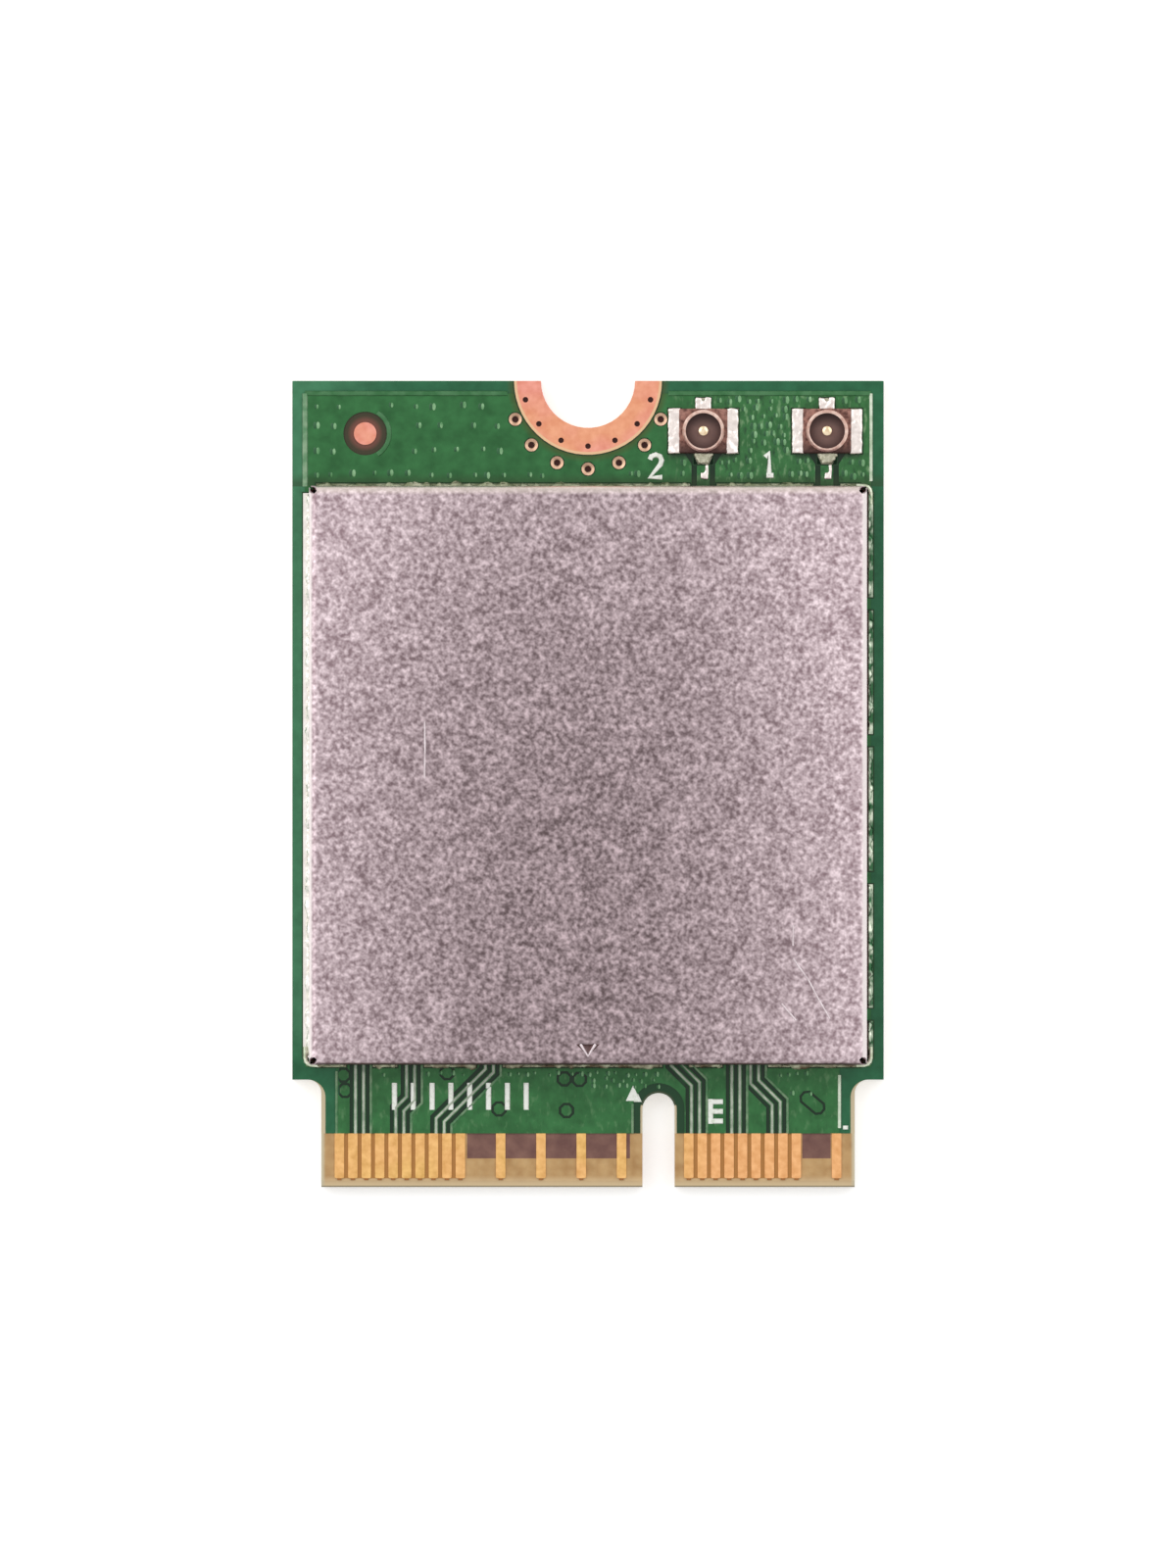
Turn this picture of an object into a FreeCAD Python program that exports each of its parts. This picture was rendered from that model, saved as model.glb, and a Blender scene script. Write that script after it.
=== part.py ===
import FreeCAD
import Part
import math
import os

from FreeCAD import Vector

# Sizes in millimetres. The origin is under the middle of the card. +Y points to the notch end,
# +X to the side of the first contact, and +Z to the component side.

# Edge contacts: 75 numbered places, odd ones on the component side and even ones underneath
PLACE_COUNT = 75
CONTACT_PITCH = 0.5
CONTACT_WIDTH = 0.35
CONTACT_LENGTH = 1.67
CONTACT_SETBACK = 0.33
CONTACT_CORNER = 0.04
TIE_STUB_WIDTH = 0.16
TIE_STUB_LENGTH = 0.07
KEY_PLACES = (24, 31)
UNUSED_PLACES = (3, 5, 35, 37, 41, 43, 47, 49, 53, 55)

# Card outline
BOARD_LENGTH = 30.0
TONGUE_MARGIN = 0.5
TONGUE_LENGTH = 4.0
SHOULDER_STEP = 1.075
SHOULDER_RADIUS = 0.5
KEY_WIDTH = 1.2
KEY_DEPTH = 3.5
EDGE_BEVEL_LENGTH = 0.25
EDGE_BEVEL_DEPTH = 0.12

# Layers from the underside up: laminate, outer copper, lacquer over copper or over bare laminate
LAMINATE_THICKNESS = 0.745
COPPER_THICKNESS = 0.04
MASK_OVER_COPPER = 0.015
MASK_OVER_LAMINATE = 0.02
MASK_RELIEF = 0.05
MASK_TONGUE_INSET = 0.16
MASK_KEY_INSET = 0.08
POUR_INSET = 0.47
POUR_TONGUE_INSET = 0.57
POUR_KEY_INSET = 0.37

# Screw notch, its copper ring and the plated holes in and round it
NOTCH_RADIUS = 1.75
RING_WIDTH = 1.0
RING_HOLE_COUNT = 7
RING_HOLE_STEP_DEG = 24.4
RING_HOLE_INSET = 0.32
STITCH_COUNT = 7
STITCH_STEP_DEG = 20.7
STITCH_GAP = 0.53
STITCH_PULL_IN = 0.22
STITCH_PAD_RADIUS = 0.24
HOLE_RADIUS = 0.11
PLATING = 0.03
SMALL_ROUND_SIDES = 8

# Fiducial dot in its round window
FIDUCIAL_RADIUS = 0.42
FIDUCIAL_WINDOW_RADIUS = 0.81
FIDUCIAL_FROM_SIDE = 2.71
FIDUCIAL_FROM_END = 1.96

# Trace pairs in the front strip: their two contact places, where the jog starts, and how far it goes
TRACE_PAIRS = (
    (73, 71, 2.60, 0.0),
    (67, 65, 2.90, 0.40),
    (61, 59, 2.50, 1.83),
    (23, 21, 3.84, -0.75),
    (17, 15, 2.60, 0.0),
    (11, 9, 3.12, -0.80),
)
TRACE_GAP = 0.14
TRACE_GAP_SPACING = 0.3
TRACE_TUCK = 0.6

# Ring-shaped gaps round single holes in the front strip, from the card's middle and the tongue's tip
CLEARANCE_RINGS = ((-9.1, 4.17), (-9.04, 3.6), (-5.24, 4.26), (-3.31, 2.91), (-0.88, 4.03), (-0.32, 4.01),
                   (-0.8, 2.85))
CLEARANCE_RADIUS = 0.31
CLEARANCE_GAP = 0.1
LONG_CLEARANCE = (8.35, 3.14)
LONG_CLEARANCE_LENGTH = 0.5
LONG_CLEARANCE_TURN_DEG = -40.0

# Shield can: one folded sheet
CAN_SIDE_MARGIN = 0.64
CAN_FRONT_MARGIN = 4.57
CAN_BACK_MARGIN = 3.93
CAN_HEIGHT = 1.45
CAN_SHEET = 0.15
CAN_BEND_RADIUS = 0.3
CORNER_RELIEF_RADIUS = 0.16
CORNER_RELIEF_INSET = 0.14
CORNER_RELIEF_DEPTH = 0.42
CORNER_SEAM = 0.07
PASSAGE_WIDTH = 1.0
PASSAGE_HEIGHT = 0.25
PASSAGE_CORNER = 0.1
INDEX_WIDTH = 0.62
INDEX_LENGTH = 0.5
INDEX_DEPTH = 0.07
INDEX_FROM_FRONT = 0.32
INDEX_FLOOR_SHARE = 0.35

# Land under the can's wall and solder along it
CAN_LAND_SIDES = 0.24
CAN_LAND_ENDS = 0.1
CAN_LAND_INSIDE = 0.1
CAN_LAND_CORNER_GAP = 0.25
BRIDGE_COUNT = 4
BRIDGE_WIDTH = 0.5
BRIDGE_STEP = 5.09
BRIDGE_FROM_BACK = 4.37
FILLET_RISE = 1.35
FILLET_END_GAP = 0.1
FILLET_HOLLOW = 0.19

# Antenna ports
PORT_FROM_SIDE = 2.11
PORT_SPACING = 4.6
PORT_FROM_END = 1.87
PORT_RING_RADIUS = 0.78
PORT_RING_WALL = 0.09
PORT_RING_DRAFT = 0.03
PORT_RING_HEIGHT = 0.58
PORT_LIP_HEIGHT = 0.24
PORT_LIP_STEP = 0.03
PORT_LIP_BEVEL = 0.06
PORT_BLOCK_WIDTH = 1.8
PORT_BLOCK_DEPTH = 1.66
PORT_BLOCK_HEIGHT = 0.22
PORT_BLOCK_EDGE = 0.04
PORT_SIDE_LEG_WIDTH = 1.1
PORT_BACK_LEG_WIDTH = 0.42
PORT_LEG_THICKNESS = 0.1
PORT_LEG_REACH = 0.28
PORT_PIN_RADIUS = 0.17
PORT_PIN_HEIGHT = 0.5
PORT_PIN_TAPER = 0.03
PORT_FOOT_WIDTH = 0.3
PORT_FOOT_THICKNESS = 0.08
PORT_FOOT_WINDOW_WIDTH = 0.5
PORT_FOOT_WINDOW_HEIGHT = 0.16
PORT_LAND_OVERLAP = 0.06
PORT_LAND_REACH = 0.4
PORT_SIGNAL_LAND_WIDTH = 0.72
PORT_TRACE_WIDTH = 0.48
PORT_TRACE_GAP = 0.2
PORT_TRACE_FLARE = 0.25

# Parts under the can: length along X, width along Y and height of each body
PACKAGE_STANDOFF = 0.05
PACKAGE_EDGE = 0.06
DOT_RADIUS = 0.25
DOT_DEPTH = 0.05
TERMINAL_LENGTH = 0.4
TERMINAL_SHARE = 0.55
WIRELESS_SIZE = (7.0, 7.0, 0.8)
WIRELESS_OFFSET_Y = -0.4
WIRELESS_PITCH = 0.5
FRONT_END_SIZE = (3.0, 3.0, 0.7)
FRONT_END_FROM_SIDE = 2.4
FRONT_END_SPACING = 4.4
FRONT_END_FROM_BACK = 3.6
FRONT_END_PITCH = 0.5
FLASH_SIZE = (3.0, 2.0, 0.55)
FLASH_FROM_SIDE = 2.6
FLASH_FROM_FRONT = 2.0
FLASH_PITCH = 0.5
REGULATOR_SIZE = (3.0, 3.0, 0.75)
REGULATOR_FROM_SIDE = 2.4
REGULATOR_FROM_FRONT = 2.3
REGULATOR_PITCH = 0.5
INDUCTOR_SIZE = (2.0, 1.6, 1.0)
INDUCTOR_FROM_SIDE = 5.6
INDUCTOR_SPACING = 2.5
INDUCTOR_FROM_FRONT = 1.7
INDUCTOR_CAP = 0.4
DIPLEXER_SIZE = (1.6, 0.8, 0.6)
DIPLEXER_FROM_BACK = 1.1
CRYSTAL_SIZE = (2.0, 2.5, 0.35)
CRYSTAL_FROM_SIDE = 1.9
CRYSTAL_FROM_BACK = 9.0
CRYSTAL_LID_HEIGHT = 0.2
CRYSTAL_LID_INSET = 0.15
CAPACITOR_SIZE = (1.0, 0.5, 0.5)
CAPACITOR_CAP = 0.25
CAPACITOR_ROW_GAP = 0.5
CAPACITOR_STEP = 1.3
CAPACITORS_PER_ROW = 5
RESISTOR_SIZE = (0.6, 0.3, 0.23)
RESISTOR_CAP = 0.15
RESISTOR_COLUMN_GAP = 0.7
RESISTOR_STEP = 0.8
RESISTORS_PER_COLUMN = 6
CAP_OVERHANG = 0.01


def place_x(place):
    """Middle of a numbered contact place along the card's edge"""
    return ((PLACE_COUNT + 1) / 2 - place) * CONTACT_PITCH / 2


# Places that follow from the sizes
CONTACT_SPAN = place_x(1) - place_x(PLACE_COUNT) + CONTACT_WIDTH
TONGUE_HALF = CONTACT_SPAN / 2 + TONGUE_MARGIN
BOARD_HALF = TONGUE_HALF + SHOULDER_STEP
END_Y = BOARD_LENGTH / 2
TIP_Y = -END_Y
SHOULDER_Y = TIP_Y + TONGUE_LENGTH
KEY_X = place_x(sum(KEY_PLACES) / 2)
MASK_TIP_Y = TIP_Y + CONTACT_SETBACK + CONTACT_LENGTH
LAMINATE_TOP = LAMINATE_THICKNESS
COPPER_TOP = LAMINATE_TOP + COPPER_THICKNESS
MASK_LOW = LAMINATE_TOP + MASK_OVER_LAMINATE
SEAT = COPPER_TOP + MASK_OVER_COPPER
RING_RADIUS = NOTCH_RADIUS + RING_WIDTH
CAN_HALF = BOARD_HALF - CAN_SIDE_MARGIN
CAN_FRONT = TIP_Y + CAN_FRONT_MARGIN
CAN_BACK = END_Y - CAN_BACK_MARGIN
CAN_MIDDLE = (CAN_FRONT + CAN_BACK) / 2
CAN_HALF_LENGTH = (CAN_BACK - CAN_FRONT) / 2
CAN_TOP = SEAT + CAN_HEIGHT
PORT_Y = END_Y - PORT_FROM_END
PORT_X = {"port_1": BOARD_HALF - PORT_FROM_SIDE, "port_2": BOARD_HALF - PORT_FROM_SIDE - PORT_SPACING}
UP = Vector(0, 0, 1)
CENTRE = Vector(0, 0, 0)


def box(x_range, y_range, z_range):
    size = [high - low for low, high in (x_range, y_range, z_range)]
    return Part.makeBox(*size, Vector(x_range[0], y_range[0], z_range[0]))


def cylinder(x, y, radius, z_range):
    return Part.makeCylinder(radius, z_range[1] - z_range[0], Vector(x, y, z_range[0]))


def small_round(x, y, radius, z_range):
    """Prism for a hole or pad so small that a few flat sides look round"""
    return plate(small_round_face(x, y, radius), z_range)


def small_round_face(x, y, radius):
    turn = 360 / SMALL_ROUND_SIDES
    return polygon([arc_middle((x, y), radius, turn * (side + 0.5)) for side in range(SMALL_ROUND_SIDES)])


def outline(start, steps):
    """Closed face at z = 0: a step is a point to run straight to, or a (middle, end) pair for an arc"""
    edges = []
    here = Vector(*start)
    for step in steps:
        if isinstance(step[0], tuple):
            middle, there = (Vector(*point) for point in step)
            edges.append(Part.Arc(here, middle, there).toShape())
        else:
            there = Vector(*step)
            edges.append(Part.LineSegment(here, there).toShape())
        here = there
    return Part.Face(Part.Wire(edges))


def plate(face, z_range):
    """A face drawn at z = 0, made solid between two heights"""
    solid = face.extrude(UP * (z_range[1] - z_range[0]))
    solid.translate(UP * z_range[0])
    return solid


def polygon(points):
    return outline(points[0], list(points[1:]) + [points[0]])


def arc_middle(centre, radius, angle_deg):
    angle = math.radians(angle_deg)
    return (centre[0] + radius * math.cos(angle), centre[1] + radius * math.sin(angle))


def moved(shape, x, y, z=0.0, turn_deg=0.0):
    copy = shape.copy()
    copy.rotate(CENTRE, UP, turn_deg)
    copy.translate(Vector(x, y, z))
    return copy


def joined(solids):
    return solids[0].multiFuse(solids[1:]).removeSplitter()


def card_face(tip_y, tongue_inset, key_inset, notch_radius):
    """Outline of the card or of a layer on it, drawn in by the insets on the tongue and in the key slot"""
    tongue = TONGUE_HALF - tongue_inset
    corner = SHOULDER_RADIUS + tongue_inset
    corner_x = tongue + corner
    corner_y = SHOULDER_Y - corner
    key = KEY_WIDTH / 2 + key_inset
    key_round_y = TIP_Y + KEY_DEPTH - KEY_WIDTH / 2
    return outline((-tongue, tip_y), [
        (KEY_X - key, tip_y),
        (KEY_X - key, key_round_y),
        ((KEY_X, key_round_y + key), (KEY_X + key, key_round_y)),
        (KEY_X + key, tip_y),
        (tongue, tip_y),
        (tongue, corner_y),
        (arc_middle((corner_x, corner_y), corner, 135), (corner_x, SHOULDER_Y)),
        (BOARD_HALF, SHOULDER_Y),
        (BOARD_HALF, END_Y),
        (notch_radius, END_Y),
        ((0, END_Y - notch_radius), (-notch_radius, END_Y)),
        (-BOARD_HALF, END_Y),
        (-BOARD_HALF, SHOULDER_Y),
        (-corner_x, SHOULDER_Y),
        (arc_middle((-corner_x, corner_y), corner, 45), (-tongue, corner_y)),
        (-tongue, tip_y),
    ])


def fan(count, step_deg, radius_at):
    """Points on an arc round the notch, from its middle to both sides"""
    last = (count - 1) / 2
    points = []
    for index in range(count):
        offset = index - last
        points.append(arc_middle((0, END_Y), radius_at(abs(offset) / last), offset * step_deg - 90))
    return points


def ring_holes():
    return fan(RING_HOLE_COUNT, RING_HOLE_STEP_DEG, lambda share: RING_RADIUS - RING_HOLE_INSET)


def stitch_holes():
    return fan(STITCH_COUNT, STITCH_STEP_DEG,
               lambda share: RING_RADIUS + STITCH_GAP - STITCH_PULL_IN * share ** 2)


def half_ring(inner, outer):
    return outline((-outer, END_Y), [
        ((0, END_Y - outer), (outer, END_Y)),
        (inner, END_Y),
        ((0, END_Y - inner), (-inner, END_Y)),
        (-outer, END_Y),
    ])


def circuit_board():
    """Laminate with its underside lacquer, recessed there for the bottom contacts and the ring"""
    board = plate(card_face(TIP_Y, 0, 0, NOTCH_RADIUS), (0, LAMINATE_TOP))
    bevel = Part.Face(Part.makePolygon([
        Vector(-BOARD_HALF, TIP_Y, 0),
        Vector(-BOARD_HALF, TIP_Y + EDGE_BEVEL_LENGTH, 0),
        Vector(-BOARD_HALF, TIP_Y, EDGE_BEVEL_DEPTH),
        Vector(-BOARD_HALF, TIP_Y, 0),
    ])).extrude(Vector(2 * BOARD_HALF, 0, 0))
    upper_bevel = bevel.mirror(Vector(0, 0, LAMINATE_TOP / 2), UP)
    contact_recess = box((-BOARD_HALF, BOARD_HALF), (TIP_Y, MASK_TIP_Y), (0, COPPER_THICKNESS))
    ring_recess = plate(half_ring(NOTCH_RADIUS, RING_RADIUS), (0, COPPER_THICKNESS))
    hole_radius = HOLE_RADIUS + PLATING
    holes = [small_round(x, y, hole_radius, (0, LAMINATE_TOP)) for x, y in ring_holes() + stitch_holes()]
    lower_bevel = moved(bevel, 0, 0, COPPER_THICKNESS)
    return board.cut([contact_recess, ring_recess, lower_bevel, upper_bevel] + holes)


def offset_path(path, distance):
    """A path of straight runs, moved sideways by a distance with mitred corners"""
    directions = [(b[0] - a[0], b[1] - a[1]) for a, b in zip(path, path[1:])]
    normals = [(-dy / math.hypot(dx, dy), dx / math.hypot(dx, dy)) for dx, dy in directions]
    points = []
    for index, (x, y) in enumerate(path):
        before = normals[max(index - 1, 0)]
        after = normals[min(index, len(normals) - 1)]
        scale = distance / (1 + before[0] * after[0] + before[1] * after[1])
        points.append((x + (before[0] + after[0]) * scale, y + (before[1] + after[1]) * scale))
    return points


def strip(path, offset, width):
    """Face of a strip of even width beside a path"""
    left = offset_path(path, offset + width / 2)
    right = offset_path(path, offset - width / 2)
    return polygon(left + right[::-1])


def pair_path(first, second, jog_start, jog):
    """Middle line of a trace pair, from the lacquer's edge to under the can"""
    x = (place_x(first) + place_x(second)) / 2
    start_y = TIP_Y + jog_start
    path = [(x, MASK_TIP_Y - TRACE_GAP), (x, start_y)]
    if jog:
        path.append((x + jog, start_y + abs(jog)))
    return path + [(x + jog, CAN_FRONT + TRACE_TUCK)]


def front_passages():
    return [pair_path(*pair)[-1][0] for pair in TRACE_PAIRS]


def trace_gaps():
    """Narrow channels between the traces of each pair and the copper round them"""
    faces = []
    for pair in TRACE_PAIRS:
        for side in (-1, 0, 1):
            faces.append(strip(pair_path(*pair), side * TRACE_GAP_SPACING, TRACE_GAP))
    return faces


def slot_face(length, radius):
    """Slot along X with small round ends"""
    turn = 360 / SMALL_ROUND_SIDES
    ends = []
    for side in range(SMALL_ROUND_SIDES):
        angle = turn * (side + 0.5)
        middle = length / 2 if math.cos(math.radians(angle)) > 0 else -length / 2
        ends.append(arc_middle((middle, 0), radius, angle))
    return polygon(ends)


def clearance_rings():
    inner_radius = CLEARANCE_RADIUS - CLEARANCE_GAP
    rings = []
    for x, from_tip in CLEARANCE_RINGS:
        outer = small_round_face(x, TIP_Y + from_tip, CLEARANCE_RADIUS)
        rings.append(outer.cut(small_round_face(x, TIP_Y + from_tip, inner_radius)))
    long_outer = slot_face(LONG_CLEARANCE_LENGTH, CLEARANCE_RADIUS)
    long_ring = long_outer.cut(slot_face(LONG_CLEARANCE_LENGTH, inner_radius))
    x, from_tip = LONG_CLEARANCE
    rings.append(moved(long_ring, x, TIP_Y + from_tip, turn_deg=LONG_CLEARANCE_TURN_DEG))
    return rings


def port_trace_gaps():
    """Bare strips beside each antenna trace, flared where it meets the port's signal land"""
    outer = PORT_TRACE_WIDTH / 2 + PORT_TRACE_GAP
    inner = PORT_TRACE_WIDTH / 2
    flare = outer + PORT_TRACE_FLARE
    start = PORT_Y - PORT_BLOCK_DEPTH / 2
    neck = start - PORT_LAND_REACH
    end = CAN_BACK - TRACE_TUCK
    faces = []
    for x in PORT_X.values():
        for side in (-1, 1):
            shape = [(inner, start), (flare, start), (outer, neck), (outer, end), (inner, end)]
            faces.append(polygon([(x + side * px, py) for px, py in shape]))
    return faces


def pour():
    """Raised part of the lacquer: copper areas and traces under it"""
    body = box((-BOARD_HALF + POUR_INSET, BOARD_HALF - POUR_INSET),
               (SHOULDER_Y + POUR_INSET, END_Y - POUR_INSET), (MASK_LOW, SEAT))
    tongue = TONGUE_HALF - POUR_TONGUE_INSET
    front = box((-tongue, tongue), (MASK_TIP_Y, SHOULDER_Y + POUR_INSET), (MASK_LOW, SEAT))
    key_half = KEY_WIDTH / 2 + POUR_KEY_INSET
    key_round_y = TIP_Y + KEY_DEPTH - KEY_WIDTH / 2
    key_slot = box((KEY_X - key_half, KEY_X + key_half), (TIP_Y, key_round_y), (MASK_LOW, SEAT))
    key_end = cylinder(KEY_X, key_round_y, key_half, (MASK_LOW, SEAT))
    gaps = [plate(face, (MASK_LOW, SEAT)) for face in trace_gaps() + clearance_rings() + port_trace_gaps()]
    return body.fuse(front).cut([key_slot, key_end] + gaps)


def fiducial_place():
    return (FIDUCIAL_FROM_SIDE - BOARD_HALF, END_Y - FIDUCIAL_FROM_END)


def grown(ranges, margin):
    return [(low - margin, high + margin) for low, high in ranges]


def port_lands(name):
    """Plan of one port's tinned lands: two sides, back and signal, each as x and y ranges"""
    x = PORT_X[name]
    side_in = PORT_BLOCK_WIDTH / 2 - PORT_LAND_OVERLAP
    side_out = PORT_BLOCK_WIDTH / 2 + PORT_LAND_REACH
    depth = PORT_BLOCK_DEPTH / 2
    end_in = depth - PORT_LAND_OVERLAP
    end_out = depth + PORT_LAND_REACH
    back = PORT_BACK_LEG_WIDTH / 2 + PORT_LAND_OVERLAP
    signal = PORT_SIGNAL_LAND_WIDTH / 2
    return [
        ((x - side_out, x - side_in), (PORT_Y - depth, PORT_Y + depth)),
        ((x + side_in, x + side_out), (PORT_Y - depth, PORT_Y + depth)),
        ((x - back, x + back), (PORT_Y + end_in, PORT_Y + end_out)),
        ((x - signal, x + signal), (PORT_Y - end_out, PORT_Y - end_in)),
    ]


def runs_between(half, gaps):
    """Stretches of a wall from -half to half that are left between (middle, width) gaps"""
    runs = []
    start = -half
    for middle, width in sorted(gaps):
        if middle - width / 2 > start:
            runs.append((start, middle - width / 2))
        start = max(start, middle + width / 2)
    return runs + [(start, half)]


def can_walls():
    """Each wall: turn from the front one, distance from the middle, half length, land outside it, and gaps"""
    bridges = [(CAN_HALF_LENGTH - BRIDGE_FROM_BACK - index * BRIDGE_STEP, BRIDGE_WIDTH)
               for index in range(BRIDGE_COUNT)]
    front_gaps = [(x, PASSAGE_WIDTH) for x in front_passages()]
    back_gaps = [(-x, PASSAGE_WIDTH) for x in PORT_X.values()]
    return [
        (0, CAN_HALF_LENGTH, CAN_HALF, CAN_LAND_ENDS, front_gaps),
        (90, CAN_HALF, CAN_HALF_LENGTH, CAN_LAND_SIDES, bridges),
        (180, CAN_HALF_LENGTH, CAN_HALF, CAN_LAND_ENDS, back_gaps),
        (270, CAN_HALF, CAN_HALF_LENGTH, CAN_LAND_SIDES, []),
    ]


def can_land(margin, z_range):
    """Land under the can's walls, in stretches that stop short of the corners"""
    boxes = []
    for turn, distance, half, outside, gaps in can_walls():
        for start, end in runs_between(half - CAN_LAND_CORNER_GAP, gaps):
            across = (-distance - outside, -distance + CAN_SHEET + CAN_LAND_INSIDE)
            stretch = box(*grown([(start, end), across], margin), z_range)
            boxes.append(moved(stretch, 0, CAN_MIDDLE, turn_deg=turn))
    return joined(boxes)


def solder_mask():
    """Green lacquer film, raised over copper and open at every bare land"""
    lower = plate(card_face(MASK_TIP_Y, MASK_TONGUE_INSET, MASK_KEY_INSET, RING_RADIUS + MASK_RELIEF),
                  (LAMINATE_TOP, MASK_LOW))
    depth = (LAMINATE_TOP, SEAT)
    openings = [cylinder(0, END_Y, RING_RADIUS + MASK_RELIEF, depth)]
    openings += [small_round(x, y, STITCH_PAD_RADIUS + MASK_RELIEF, depth) for x, y in stitch_holes()]
    openings.append(cylinder(*fiducial_place(), FIDUCIAL_WINDOW_RADIUS, depth))
    for name in PORT_X:
        openings += [box(*grown(land, MASK_RELIEF), depth) for land in port_lands(name)]
    openings.append(can_land(MASK_RELIEF, depth))
    return lower.fuse(pour()).cut(openings)


def contact_face(tied):
    """One edge contact with cut tip corners, tip at the origin, with or without the stub of a plating tie"""
    half = CONTACT_WIDTH / 2
    stub = TIE_STUB_WIDTH / 2
    corner = CONTACT_CORNER
    tie = [(-stub, 0), (-stub, -TIE_STUB_LENGTH), (stub, -TIE_STUB_LENGTH), (stub, 0)] if tied else []
    return polygon([
        (-half, CONTACT_LENGTH),
        (-half, corner),
        (corner - half, 0),
        *tie,
        (half - corner, 0),
        (half, corner),
        (half, CONTACT_LENGTH),
    ])


def contacts(places, z_range, tied):
    contact = plate(contact_face(tied), z_range)
    tip = TIP_Y + CONTACT_SETBACK
    return Part.Compound([moved(contact, place_x(place), tip) for place in places])


def open_places(first):
    """Every second contact place from the first, without those of the key slot"""
    low, high = KEY_PLACES
    return [place for place in range(first, PLACE_COUNT + 1, 2) if not low <= place <= high]


def top_contacts():
    fitted = [place for place in open_places(1) if place not in UNUSED_PLACES]
    return contacts(fitted, (LAMINATE_TOP, COPPER_TOP), tied=True)


def bottom_contacts():
    return contacts(open_places(2), (0, COPPER_THICKNESS), tied=False)


def ground_ring():
    """Copper half-rings on both faces of the notch, tied by plated holes"""
    face = half_ring(NOTCH_RADIUS, RING_RADIUS)
    solids = [plate(face, (LAMINATE_TOP, COPPER_TOP)), plate(face, (0, COPPER_THICKNESS))]
    solids += [small_round(x, y, HOLE_RADIUS + PLATING, (0, COPPER_TOP)) for x, y in ring_holes()]
    bores = [small_round(x, y, HOLE_RADIUS, (0, COPPER_TOP)) for x, y in ring_holes()]
    return joined(solids).cut(bores)


def stitching_vias():
    vias = []
    for x, y in stitch_holes():
        pad = small_round(x, y, STITCH_PAD_RADIUS, (LAMINATE_TOP, COPPER_TOP))
        barrel = small_round(x, y, HOLE_RADIUS + PLATING, (0, COPPER_TOP))
        vias.append(pad.fuse(barrel).cut(small_round(x, y, HOLE_RADIUS, (0, COPPER_TOP))))
    return Part.Compound(vias)


def fiducial_mark():
    return cylinder(*fiducial_place(), FIDUCIAL_RADIUS, (LAMINATE_TOP, COPPER_TOP))


def shield_land():
    return can_land(0.0, (LAMINATE_TOP, SEAT))


def fillet_section(width):
    """Hollow-faced solder fillet against a wall that stands at y = 0, drawn in the YZ plane"""
    height = width * FILLET_RISE
    sag = width * FILLET_HOLLOW
    foot = Vector(0, -width, 0)
    root = Vector(0, 0, 0)
    top = Vector(0, 0, height)
    hollow = Vector(0, sag - width / 2, height / 2 - sag)
    return Part.Face(Part.makePolygon([foot, root, top, hollow, foot]))


def shield_solder():
    fillets = []
    for turn, distance, half, outside, gaps in can_walls():
        wider = [(middle, width + 2 * FILLET_END_GAP) for middle, width in gaps]
        for start, end in runs_between(half - CAN_LAND_CORNER_GAP - FILLET_END_GAP, wider):
            run = fillet_section(outside).extrude(Vector(end - start, 0, 0))
            run.translate(Vector(start, -distance, SEAT))
            fillets.append(moved(run, 0, CAN_MIDDLE, turn_deg=turn))
    return Part.Compound(fillets)


def rounded_top(half_x, half_y, height, radius):
    """Box on the can's place with its upper edges bent over by a radius"""
    block = box((-half_x, half_x), (CAN_MIDDLE - half_y, CAN_MIDDLE + half_y), (SEAT, SEAT + height))
    upper = [edge for edge in block.Edges if edge.BoundBox.ZMin > SEAT + height / 2]
    return block.makeFillet(radius, upper)


def passage(x, wall_y):
    """Opening at the foot of a wall that lets traces through"""
    half = PASSAGE_WIDTH / 2
    through = (wall_y - 2 * CAN_SHEET, wall_y + 2 * CAN_SHEET)
    hole = box((x - half, x + half), through, (SEAT, SEAT + PASSAGE_HEIGHT))
    upper = [edge for edge in hole.Edges
             if edge.BoundBox.ZMin > SEAT and edge.BoundBox.XLength < PASSAGE_CORNER]
    return hole.makeChamfer(PASSAGE_CORNER, upper)


def index_mark():
    """Coined triangle that points to the contacts, with sloping sides"""
    apex_y = CAN_FRONT + INDEX_FROM_FRONT
    centre = Vector(0, apex_y + INDEX_LENGTH * 2 / 3, 0)
    corners = [Vector(0, apex_y, 0), Vector(INDEX_WIDTH / 2, apex_y + INDEX_LENGTH, 0),
               Vector(-INDEX_WIDTH / 2, apex_y + INDEX_LENGTH, 0)]
    wires = []
    for share, z in ((1.0, CAN_TOP), (INDEX_FLOOR_SHARE, CAN_TOP - INDEX_DEPTH)):
        points = [centre + (corner - centre) * share + UP * z for corner in corners]
        wires.append(Part.makePolygon(points + points[:1]))
    return Part.makeLoft(wires, True, True)


def corner_relief(side_x, side_y):
    """Round relief where two bends meet, and the open seam between the walls below it"""
    x = side_x * (CAN_HALF - CORNER_RELIEF_INSET)
    y = CAN_MIDDLE + side_y * (CAN_HALF_LENGTH - CORNER_RELIEF_INSET)
    hole = small_round(x, y, CORNER_RELIEF_RADIUS, (CAN_TOP - CORNER_RELIEF_DEPTH, CAN_TOP))
    seam = box((0, 2 * CAN_SHEET + CORNER_RELIEF_INSET), (-CORNER_SEAM / 2, CORNER_SEAM / 2), (SEAT, CAN_TOP))
    seam = moved(seam, x, y, turn_deg=math.degrees(math.atan2(side_y, side_x)))
    return hole.fuse(seam)


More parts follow.
